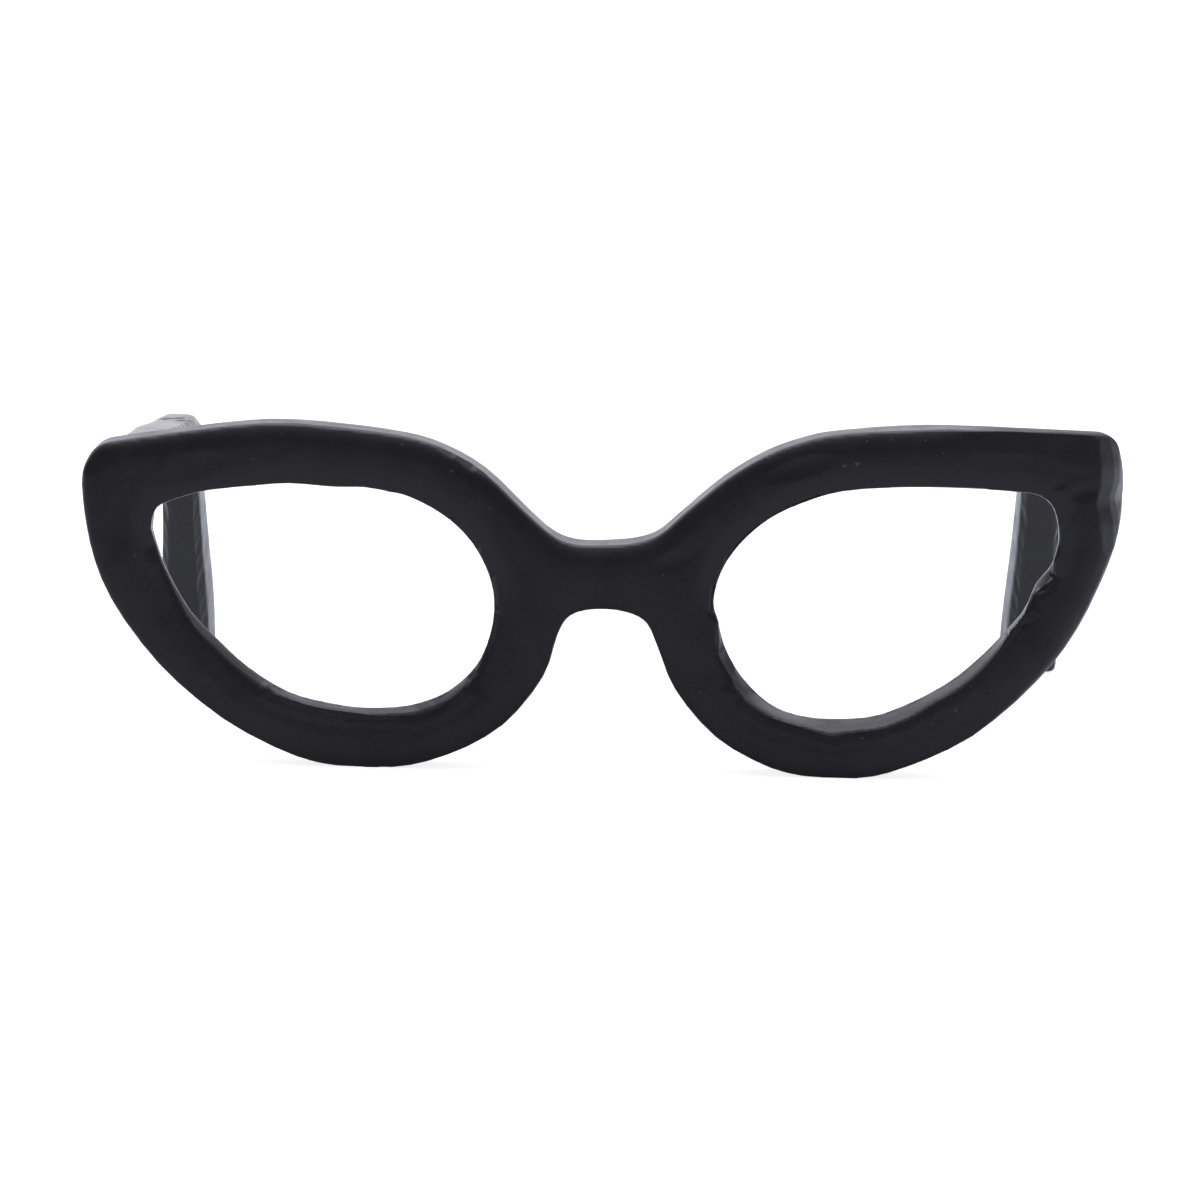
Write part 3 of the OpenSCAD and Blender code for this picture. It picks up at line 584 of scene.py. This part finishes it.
for radius in SPLIT_REACHES:
    co = read_points(front)
    chosen = np.zeros(len(co), bool)
    for (x, z), _, half_length, *_ in MARKS:
        chosen |= np.hypot(co[:, 0] - x * MM, co[:, 2] - z * MM) < (radius + half_length) * MM
    refine(front, chosen & (co[:, 1] < face_y + 6 * MM))
co = read_points(front)
dust = np.zeros(len(co))
for (x, z), (ax, az), half_length, half_width, depth, share in MARKS:
    at = on_face(co, x, z)
    along = np.array((ax, az)) / math.hypot(ax, az)
    off = (co[:, ::2] - at[::2]) @ np.array([along, (-along[1], along[0])]).T / (half_length * MM, half_width * MM)
    dust = np.maximum(dust, share * (1 - ramp(np.hypot(*off.T), 0.4, 1.1)) * (co[:, 1] < face_y + 6 * MM))
    press(co, at, (0, 1, 0), (ax, 0, az), depth * MM, half_length * MM, half_width * MM, 1.5 * MM)
move_points(front, np.clip(co, *cad_box))
print("front marked in", len(MARKS), "places")

# %% [markdown]
# The painted sheen and the dull stretch follow from where a point lies: near an opening's upper edge, or on
# top of the right-hand end. They fade out softly.

# %% Front: where the coat is dusty, has painted sheen, or is dull
rims = tree_of(opening_co * (1, 0, 1))
to_rim = np.array([rims.find((p[0], 0, p[2]))[2] for p in co])
# Painted sheen: the coat is painted lighter and made glossier near the openings' upper edges, in place of the
# reflection there
painted_sheen_and_gloss = (1 - ramp(to_rim, 4 * MM, 11 * MM)) * ramp(co[:, 2], 60 * MM, 85 * MM)
dull = ramp(co[:, 0], 140 * MM, 165 * MM) * ramp(co[:, 2], 132 * MM, 138 * MM)
for name, values in (("dust", dust), ("painted_sheen_and_gloss", painted_sheen_and_gloss), ("dull", dull)):
    front.data.attributes.new(name, "FLOAT", "POINT").data.foreach_set("value", values)
print("front finished with", triangles_of(front), "triangles")

# %% [markdown]
# Each temple is a thick bar that runs straight back, bends behind the ear and drops to the table. Its flats
# are smooth and its long edges are softly rounded. Slanting scallops are pressed into the edges, like
# strokes of a thumb in wet clay, each a little different, from a seeded list. They catch the light as
# feathered streaks that run down and inwards from the silhouette. The left temple's bend shows above the
# brow, so it is rounded and wrinkled, and each drop is tapered so that its inner side shows.

# %% Temple: the line that the bar follows
STRAIGHT_END = Vector((0, 78.5, 107.5)) * MM
BEND_R = 34 * MM
BEND_TURN = math.radians(62)
DROP_LENGTH = 101 * MM
ROOT_LENGTH, TOE_IN = 35 * MM, 3 * MM
JOINT_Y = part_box("temple_right")[0][1]
ROOT_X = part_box("temple_right")[1][0] - 10 * MM
straight_length = STRAIGHT_END.y - JOINT_Y
bend_length = BEND_R * BEND_TURN


def bar_at(s):
    """Centre of the bar and its downward slope at the length s from the joint, for the right-hand side."""
    x = ROOT_X - TOE_IN * ramp(s, ROOT_LENGTH, straight_length)
    if s < straight_length:
        return Vector((x, JOINT_Y + s, STRAIGHT_END.z)), 0
    turn = min((s - straight_length) / BEND_R, BEND_TURN)
    rest = max(0, s - straight_length - bend_length)
    return Vector((x, STRAIGHT_END.y + BEND_R * math.sin(turn) + rest * math.cos(turn),
                   STRAIGHT_END.z - BEND_R * (1 - math.cos(turn)) - rest * math.sin(turn))), turn


bar_length = straight_length + bend_length + DROP_LENGTH
print("bar is", round(bar_length / MM), "mm long")


# %% [markdown]
# The hinge's barrel stands in a notch at the temple's root, and the leaf lies in a recess on its inner face.

# %% Temple: notch and recess of the hinge
def temple_recesses():
    """The notch for the hinge barrel, and the recess for the temple's leaf, for the right-hand side."""
    leaf_lo, leaf_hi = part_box("hinge_leaf_temple_right")
    lo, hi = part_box("temple_right")
    notch = ((HINGE_X - 8 * MM, JOINT_Y - 1 * MM, lo[2] + 60 * MM),
             (HINGE_X + 3.9 * MM, HINGE_Y + 3.9 * MM, hi[2] + 1 * MM))
    leaf = ((HINGE_X - 3.5 * MM - 1 * MM, HINGE_Y + 3.8 * MM, leaf_lo[2] - LEAF_PLAY),
            (HINGE_X - 2 * MM, leaf_hi[1] + LEAF_PLAY, leaf_hi[2] + LEAF_PLAY))
    return notch, leaf


# %% [markdown]
# The scallops are pressed one after the other along each long edge, from the root to the tip. Each finds
# the surface of the bar as it was before the first one, so that neighbours don't dig a deeper groove.

# %% Temple: scallops
def scallop(co, side, seed):
    """Presses slanting hollows along the four long edges of the bar."""
    sign = -1 if side == "left" else 1
    chance = random.Random(seed)
    plain, tree = co.copy(), tree_of(co)
    count = 0
    for across in (-1, 1):
        for up in (-1, 1):
            s = 40 * MM
            while s < bar_length - 6 * MM:
                centre, turn = bar_at(s)
                if up < 0 and 0 < turn < BEND_TURN:      # the inside of the bend stays smooth
                    s += 5 * MM
                    continue
                along = Vector((0, math.cos(turn), -math.sin(turn)))
                over = Vector((0, math.sin(turn), math.cos(turn)))
                outward = (across * Vector((1, 0, 0)) + up * over).normalized()
                start = centre + 14 * MM * outward
                spot = plain[tree.find((sign * start.x, start.y, start.z))[1]]
                lie = along - chance.uniform(0.25, 0.6) * across * Vector((1, 0, 0))
                depth = chance.uniform(0.25, 0.8) * MM
                press(co, spot, (-sign * outward.x, -outward.y, -outward.z), (sign * lie.x, lie.y, lie.z), depth,
                      chance.uniform(8, 13) * MM, chance.uniform(1.8, 3.4) * MM, 3 * MM)
                s += chance.uniform(3.5, 9) * MM * (1.8 if across > 0 else 1)
                count += 1
    return count


# %% [markdown]
# The two temples differ a little. The left one's bend is a dome with wrinkles, which shows above the brow.
# Its bar bows outwards and its drop stands farther in. Each drop narrows on its inner side.

# %% Temple: crown and taper
# Wrinkles on the left temple's bend, where it shows above the brow: place x, y, z; direction; half length
WRINKLES = [
    ((-197, 58, 117.5), (0.8, 1, 0), 6), ((-192.5, 59, 117.5), (0.7, 1, 0), 7),
    ((-189.5, 62, 117.4), (0.4, 1, 0), 6), ((-187, 57.5, 117.2), (0.5, 1, 0), 7),
    ((-185.5, 62, 116), (0.2, 1, -0.1), 6),
]
CROWN_X, CROWN_FLAT, CROWN_HALF = -195 * MM, 2.5, 7.5      # the last two in millimetres
CROWN_FALL = 0.032 * MM
BAR_OUT, DROP_IN = 1.8 * MM, 1.9 * MM


def shape_crown(co):
    """Rounds the left temple's bend into a dome, bows the bar outwards and brings its drop inwards."""
    shoulder = np.clip(np.abs(co[:, 0] - CROWN_X) / MM - CROWN_FLAT, 0, CROWN_HALF)
    over_top = ramp(co[:, 1], 15 * MM, 65 * MM) * ramp(co[:, 2], 104 * MM, 114 * MM)
    co[:, 2] -= CROWN_FALL * shoulder ** 2 * over_top
    co[:, 0] += DROP_IN * ramp(co[:, 1], 45 * MM, 85 * MM)
    co[:, 0] -= BAR_OUT * ramp(co[:, 1], -90 * MM, -10 * MM) * (1 - ramp(co[:, 1], 15 * MM, 65 * MM))
    for place, lie, half_length in WRINKLES:
        press(co, np.array(place) * MM, (0.15, 0, -1), lie, 0.5 * MM, half_length * MM, 0.8 * MM, 3 * MM)


def taper_drop(co, side, at_back, at_front):
    """Moves the drop's inner side outwards, by one amount at its back and by another at its front."""
    sign = -1 if side == "left" else 1
    top, turn = bar_at(straight_length + bend_length)
    along, over = np.array((0, math.cos(turn), -math.sin(turn))), np.array((0, math.sin(turn), math.cos(turn)))
    from_top = co - np.array((sign * top.x, top.y, top.z))
    front_share = np.clip(0.5 - from_top @ over / (20 * MM), 0, 1)
    inward = np.clip(-sign * from_top[:, 0] / (10 * MM), 0, 1.2) * ramp(from_top @ along, -12 * MM, 8 * MM)
    co[:, 0] += sign * inward * (at_back + (at_front - at_back) * front_share) * MM


# %% [markdown]
# A temple goes through the same steps as the front: recesses filled, clay, tool marks, recesses cut. The
# long smoothing rounds the bar's edges the way slip and a sponge do.

# %% Temple: both temples
TEMPLE_CLAY = 0.72 * MM
SPONGE_STROKES = 70
DROP_TAPER = {"left": (1.2, 3), "right": (-0.7, 1.3)}      # at the back and at the front, in millimetres


def sculpted_temple(side, seed):
    temple = copy_of(f"temple_{side}", f"sculpted_temple_{side}")
    for lo, hi in temple_recesses():
        inner = max(lo[0], ROOT_X - 9.6 * MM), max(lo[1], JOINT_Y + 0.3 * MM), max(lo[2], 102 * MM)
        fill(temple, *mirrored(side, inner, (hi[0] + 0.4 * MM, hi[1] + 0.4 * MM, min(hi[2], 117 * MM))))
    to_clay(temple, TEMPLE_CLAY)
    finish_modifier(temple, "SMOOTH", factor=0.5, iterations=SPONGE_STROKES)
    if side == "left":
        co = read_points(temple)
        refine(temple, ((co > (-201 * MM, 30 * MM, 112 * MM)) & (co < (-180 * MM, 80 * MM, 1))).all(axis=1))
    co, no = read_points(temple), read_points(temple, "normal")
    swell(co, no, 0.03, 0.3 * MM, seed)
    taper_drop(co, side, *DROP_TAPER[side])
    count = scallop(co, side, seed)
    if side == "left":
        shape_crown(co)
    move_points(temple, co)
    finish_modifier(temple, "SMOOTH", factor=0.5, iterations=1)
    for lo, hi in temple_recesses():
        cut(temple, *mirrored(side, lo, hi))
    print(temple.name, "has", count, "scallops and", triangles_of(temple), "triangles")
    return temple


temples = {"left": sculpted_temple("left", 11), "right": sculpted_temple("right", 12)}
for temple in temples.values():
    co, no = read_points(temple), read_points(temple, "normal")
    # Painted sheen: the upward-facing front part of each temple is painted lighter, standing in for light along
    # its top, and made glossier
    painted_sheen_and_gloss = ramp(no[:, 2], 0.1, 0.6) * ramp(co[:, 1], -60 * MM, 20 * MM)
    temple.data.attributes.new("painted_sheen_and_gloss", "FLOAT", "POINT").data.foreach_set("value", painted_sheen_and_gloss)
    move_points(temple, np.clip(co, *cad_box))

# %% [markdown]
# The lacquer is a near-black satin coat. Its colour hardly varies, but hands and wax have left it clouded:
# a little purple in the darks and a little blue-green in the lights. Its gloss varies more, and fine
# pinholes and dust show as specks. Clouds and specks are node groups, because the steel is clouded too and
# the specks come in two sizes.

# %% Shader groups
def new_group(name, inputs, outputs):
    group = bpy.data.node_groups.new(name, "ShaderNodeTree")
    for socket, kind, value in inputs:
        made = group.interface.new_socket(socket, in_out="INPUT", socket_type="NodeSocket" + kind)
        if value is not None:
            made.default_value = value
    for socket, kind in outputs:
        group.interface.new_socket(socket, in_out="OUTPUT", socket_type="NodeSocket" + kind)
    return group, group.nodes.new("NodeGroupInput"), group.nodes.new("NodeGroupOutput")


def feed(tree, socket, value):
    """Links a socket to another node's output, or gives it a fixed value."""
    if isinstance(value, bpy.types.NodeSocket):
        tree.links.new(value, socket)
    else:
        socket.default_value = value


def add_node(tree, kind, settings=(), **values):
    """Adds a node. The settings are its own choices, and the values go to the inputs of these names."""
    node = tree.nodes.new("ShaderNode" + kind)
    for name, value in dict(settings).items():
        setattr(node, name, value)
    for name, value in values.items():
        feed(tree, node.inputs[name.replace("_", " ")], value)
    return node


def spread(tree, value, low, high, to_low, to_high):
    node = add_node(tree, "MapRange", {"clamp": True}, Value=value)
    for name, number in (("From Min", low), ("From Max", high), ("To Min", to_low), ("To Max", to_high)):
        node.inputs[name].default_value = number
    return node.outputs["Result"]


def sums(tree, operation, a, b):
    node = add_node(tree, "Math", {"operation": operation})
    for socket, value in zip(node.inputs, (a, b)):
        feed(tree, socket, value)
    return node.outputs[0]


# %% [markdown]
# Clouds are soft noise of a given size. Smudges are finer noise, torn a little, about a quarter as large.

# %% Shader group: clouds
clouds, given, result = new_group("clouds", [("Vector", "Vector", None), ("Size", "Float", 0.05)],
                                  [("Clouds", "Float"), ("Smudges", "Float")])
per_metre = sums(clouds, "DIVIDE", 1, given.outputs["Size"])
broad = add_node(clouds, "TexNoise", Vector=given.outputs["Vector"], Scale=per_metre, Detail=5, Roughness=0.6)
clouds.links.new(spread(clouds, broad.outputs["Fac"], 0.35, 0.68, 0, 1), result.inputs["Clouds"])
fine = add_node(clouds, "TexNoise", Vector=given.outputs["Vector"], Scale=sums(clouds, "MULTIPLY", per_metre, 4.5),
                Detail=6, Roughness=0.65, Distortion=0.6)
clouds.links.new(spread(clouds, fine.outputs["Fac"], 0.4, 0.66, 0, 1), result.inputs["Smudges"])

print("clouds made of", len(clouds.nodes), "nodes")

# %% [markdown]
# Specks are small round spots in the cells of a Voronoi pattern. Only a share of the cells has one.

# %% Shader group: specks
specks, given, result = new_group("specks", [("Vector", "Vector", None), ("Per Metre", "Float", 120),
                                             ("Size", "Float", 0.04), ("Share", "Float", 0.2)],
                                  [("Specks", "Float")])
cells = add_node(specks, "TexVoronoi", Vector=given.outputs["Vector"], Scale=given.outputs["Per Metre"])
tint = add_node(specks, "SeparateColor")
specks.links.new(cells.outputs["Color"], tint.inputs[0])
chosen = sums(specks, "LESS_THAN", tint.outputs[0], given.outputs["Share"])
size = sums(specks, "MULTIPLY", given.outputs["Size"], sums(specks, "ADD", tint.outputs[1], 0.4))
inside = sums(specks, "LESS_THAN", cells.outputs["Distance"], size)
specks.links.new(sums(specks, "MULTIPLY", chosen, inside), result.inputs["Specks"])
print("specks made of", len(specks.nodes), "nodes")

# %% [markdown]
# The coat's colour, gloss and grain are mixed from those groups and from the attributes on the casting, one of
# which paints a lighter sheen into the colour.

# %% Lacquer
PURPLE_BLACK, BLUE_BLACK = (0.011, 0.0082, 0.0135), (0.0165, 0.0175, 0.0205)
# The sheen black is a painted sheen: a lighter coat standing in for reflected light
SMUDGED_BLACK, PAINTED_SHEEN_BLACK, DUST_GREY = (0.027, 0.026, 0.031), (0.024, 0.026, 0.030), (0.16, 0.16, 0.17)
LEAST_ROUGH, MOST_ROUGH = 0.25, 0.35
SHEEN_SMOOTHER, DULL_ROUGHER = 0.23, 0.2
SKIN, DIMPLES, PINHOLES = 0.00006, 0.00022, 0.00015      # heights in metres
lacquer = bpy.data.materials.new("satin_black_lacquer")
lacquer.use_nodes = True
tree = lacquer.node_tree
shader = tree.nodes["Principled BSDF"]
place = add_node(tree, "TexCoord").outputs["Object"]


def placed(tree, group, **values):
    return add_node(tree, "Group", {"node_tree": group}, **values)


def blend_colour(tree, share, first, second):
    node = add_node(tree, "Mix", {"data_type": "RGBA"}, Factor=share)
    for socket, value in ((node.inputs[6], first), (node.inputs[7], second)):
        feed(tree, socket, (*value, 1) if isinstance(value, tuple) else value)
    return node.outputs[2]


cloudy = placed(tree, clouds, Vector=place, Size=0.05)
dusty = placed(tree, specks, Vector=place, Per_Metre=110, Size=0.03, Share=0.08)
pinholes = placed(tree, specks, Vector=place, Per_Metre=210, Size=0.05, Share=0.1)
colour = blend_colour(tree, cloudy.outputs["Clouds"], PURPLE_BLACK, BLUE_BLACK)
upright = add_node(tree, "Mapping", Vector=place)
upright.inputs["Scale"].default_value = (1, 1, 0.45)
smudged = placed(tree, clouds, Vector=upright.outputs[0], Size=0.013)
colour = blend_colour(tree, sums(tree, "MULTIPLY", smudged.outputs["Clouds"], 0.45), colour, SMUDGED_BLACK)
# Painted sheen: where this attribute lies, the coat is painted lighter and made glossier
painted_sheen_and_gloss = add_node(tree, "Attribute", {"attribute_name": "painted_sheen_and_gloss"})
colour = blend_colour(tree, painted_sheen_and_gloss.outputs["Fac"], colour, PAINTED_SHEEN_BLACK)
dust = add_node(tree, "Attribute", {"attribute_name": "dust"})
pale = sums(tree, "MAXIMUM", dusty.outputs["Specks"], dust.outputs["Fac"])
colour = blend_colour(tree, pale, colour, DUST_GREY)
tree.links.new(colour, shader.inputs["Base Color"])
gloss = spread(tree, cloudy.outputs["Smudges"], 0, 1, LEAST_ROUGH, MOST_ROUGH)
gloss = sums(tree, "SUBTRACT", gloss, sums(tree, "MULTIPLY", painted_sheen_and_gloss.outputs["Fac"], SHEEN_SMOOTHER))
dull = add_node(tree, "Attribute", {"attribute_name": "dull"})
gloss = sums(tree, "ADD", gloss, sums(tree, "MULTIPLY", dull.outputs["Fac"], DULL_ROUGHER))
tree.links.new(gloss, shader.inputs["Roughness"])
shader.inputs["Specular IOR Level"].default_value = 0.42
skin = add_node(tree, "TexNoise", Vector=place, Scale=420, Detail=3, Roughness=0.5)
dimples = add_node(tree, "TexNoise", Vector=place, Scale=130, Detail=2, Roughness=0.4)
height = sums(tree, "ADD", sums(tree, "MULTIPLY", skin.outputs["Fac"], SKIN),
              sums(tree, "MULTIPLY", dimples.outputs["Fac"], DIMPLES))
height = sums(tree, "SUBTRACT", height, sums(tree, "MULTIPLY", pinholes.outputs["Specks"], PINHOLES))
bump = add_node(tree, "Bump", Height=height)
bump.inputs["Strength"].default_value = 1
bump.inputs["Distance"].default_value = 1
tree.links.new(bump.outputs["Normal"], shader.inputs["Normal"])
print("lacquer made of", len(tree.nodes), "nodes")


# %% [markdown]
# Each casting stands in for its node of the model, and moves with that node's body.

# %% Coat the castings
def coat(piece, material):
    piece.data.materials.clear()
    piece.data.materials.append(material)


for piece, node, body in ((front, "front_frame", "front"), (temples["left"], "temple_left", "left_temple"),
                          (temples["right"], "temple_right", "right_temple")):
    coat(piece, lacquer)
    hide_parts(node)
    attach(piece, body)
print("lacquer on the front and both temples")

# %% [markdown]
# The hinges are small steel butt hinges, chemically blackened. Fine brushing runs through the black, and
# the steel shows through a little where the parts rub.

# %% Blackened steel
OXIDE_BLACK, WORN_STEEL = (0.045, 0.046, 0.05), (0.16, 0.155, 0.15)
BRUSHING = 0.00003      # height in metres
steel = bpy.data.materials.new("blackened_steel")
steel.use_nodes = True
tree = steel.node_tree
shader = tree.nodes["Principled BSDF"]
place = add_node(tree, "TexCoord").outputs["Object"]
stretch = add_node(tree, "Mapping", Vector=place)
stretch.inputs["Scale"].default_value = (1, 1, 14)
brushed = add_node(tree, "TexNoise", Vector=stretch.outputs[0], Scale=260, Detail=5, Roughness=0.7)
worn = placed(tree, clouds, Vector=place, Size=0.006)
tree.links.new(blend_colour(tree, worn.outputs["Smudges"], OXIDE_BLACK, WORN_STEEL), shader.inputs["Base Color"])
shader.inputs["Metallic"].default_value = 1
tree.links.new(spread(tree, brushed.outputs["Fac"], 0.3, 0.7, 0.3, 0.5), shader.inputs["Roughness"])
bump = add_node(tree, "Bump", Height=sums(tree, "MULTIPLY", brushed.outputs["Fac"], BRUSHING))
bump.inputs["Distance"].default_value = 1
tree.links.new(bump.outputs["Normal"], shader.inputs["Normal"])
steel_nodes = [name for name in frame["nodes"] if name.startswith("hinge") or "screws" in name]
for name in steel_nodes:
    coat(frame["nodes"][name], steel)
print("blackened steel on", len(steel_nodes), "hinge nodes")

# %% [markdown]
# The camera stands a little above the spectacles, slightly to the right of the middle and tipped by about
# a degree, as the photograph's was. The long lens keeps the rims almost without perspective.

# %% Camera
CAMERA_DISTANCE, CAMERA_LENS = 2.1853, 162.9
CAMERA_ELEVATION, CAMERA_YAW, CAMERA_ROLL = (math.radians(a) for a in (7.579, 0.594, 1.209))
aim = Vector((-0.0004, face_y, 0.0707))
look = Vector((-math.sin(CAMERA_YAW) * math.cos(CAMERA_ELEVATION),
               math.cos(CAMERA_YAW) * math.cos(CAMERA_ELEVATION), -math.sin(CAMERA_ELEVATION)))
bpy.ops.object.select_all(action="DESELECT")
bpy.ops.object.camera_add(location=aim - CAMERA_DISTANCE * look)
camera = bpy.context.object
camera.rotation_mode = "QUATERNION"
camera.rotation_quaternion = look.to_track_quat("-Z", "Y") @ Quaternion((0, 0, 1), CAMERA_ROLL)
camera.data.lens = CAMERA_LENS
camera.data.sensor_width = 36
bpy.context.scene.camera = camera
print("camera", round(CAMERA_DISTANCE, 2), "m away with a", CAMERA_LENS, "mm lens")

# %% [markdown]
# The table is pale and lit from all round, so that in the picture it burns out to white. Rays from the
# camera see it glow, and rays off glossy things see it glow, a little bluer, behind and beside the
# spectacles. Its own grey still takes the contact shadows.

# %% Table
TABLE_SIZE, TABLE_GLOW = 200, 0.85
MIRRORED_TINT = (0.8, 0.88, 1.0)
bpy.ops.object.select_all(action="DESELECT")
bpy.ops.mesh.primitive_plane_add(size=TABLE_SIZE)
table = bpy.context.object
table.name = "table"
table_coat = bpy.data.materials.new("pale_table")
table_coat.use_nodes = True
tree = table_coat.node_tree
shader = tree.nodes["Principled BSDF"]
shader.inputs["Base Color"].default_value = (0.5, 0.5, 0.5, 1)
shader.inputs["Roughness"].default_value = 0.9
rays = add_node(tree, "LightPath")
split = add_node(tree, "SeparateXYZ", Vector=add_node(tree, "NewGeometry").outputs["Position"])
sideways = sums(tree, "MULTIPLY", sums(tree, "ABSOLUTE", split.outputs["X"], 0), 0.9)
behind = spread(tree, sums(tree, "ADD", split.outputs["Y"], sideways), -0.2, 0.6, 0, 1)
mirrored_glow = sums(tree, "MULTIPLY", rays.outputs["Is Glossy Ray"], behind)
glow = sums(tree, "MAXIMUM", rays.outputs["Is Camera Ray"], mirrored_glow)
glow = sums(tree, "MAXIMUM", glow, rays.outputs["Is Transmission Ray"])
tree.links.new(sums(tree, "MULTIPLY", glow, TABLE_GLOW), shader.inputs["Emission Strength"])
glow_colour = blend_colour(tree, rays.outputs["Is Camera Ray"], MIRRORED_TINT, (1, 1, 1))
tree.links.new(glow_colour, shader.inputs["Emission Color"])
coat(table, table_coat)
print("table of", TABLE_SIZE, "m, seen with a glow of", TABLE_GLOW)

# %% [markdown]
# The studio is white behind and above the spectacles and dim around the camera and far to the sides. The
# black lacquer mirrors the dim side on its face and the white side along its top edges.

# %% Studio
LIGHT_TINT = (0.93, 0.912, 1.0)
world = bpy.data.worlds.new("studio")
bpy.context.scene.world = world
world.use_nodes = True
tree = world.node_tree
background = tree.nodes["Background"]
split = add_node(tree, "SeparateXYZ", Vector=add_node(tree, "TexCoord").outputs["Generated"])
towards_white = sums(tree, "ADD", split.outputs["Y"], sums(tree, "MULTIPLY", split.outputs["Z"], 1.1))
aside = sums(tree, "MULTIPLY", sums(tree, "ABSOLUTE", split.outputs["X"], 0), 1.1)
towards_white = sums(tree, "SUBTRACT", towards_white, aside)
dim_to_white = spread(tree, towards_white, -0.7, 0.7, 0.2, 1)
rays = add_node(tree, "LightPath")
seen = sums(tree, "MAXIMUM", rays.outputs["Is Camera Ray"], rays.outputs["Is Transmission Ray"])
tree.links.new(blend_colour(tree, seen, LIGHT_TINT, (1, 1, 1)), background.inputs["Color"])
strength = add_node(tree, "Mix", {"data_type": "FLOAT"})
tree.links.new(seen, strength.inputs[0])
tree.links.new(dim_to_white, strength.inputs[2])
strength.inputs[3].default_value = 1
tree.links.new(strength.outputs[0], background.inputs["Strength"])


def soft_box(name, at, size, power):
    bpy.ops.object.select_all(action="DESELECT")
    bpy.ops.object.light_add(type="AREA", location=at)
    lamp = bpy.context.object
    lamp.name = name
    lamp.data.shape = "RECTANGLE"
    lamp.data.size, lamp.data.size_y = size
    lamp.data.energy = power
    lamp.data.color = LIGHT_TINT
    lamp.rotation_mode = "QUATERNION"
    lamp.rotation_quaternion = (-Vector(at)).to_track_quat("-Z", "Y")


soft_box("top_box", (0, 0.3, 1.6), (1.5, 1.6), 9)
for side, x in (("left_box", -1.8), ("right_box", 1.8)):
    soft_box(side, (x, 0.2, 0.9), (1.0, 1.4), 6)
bpy.context.scene.view_settings.view_transform = "Standard"
print("studio of a pale world and three soft boxes")
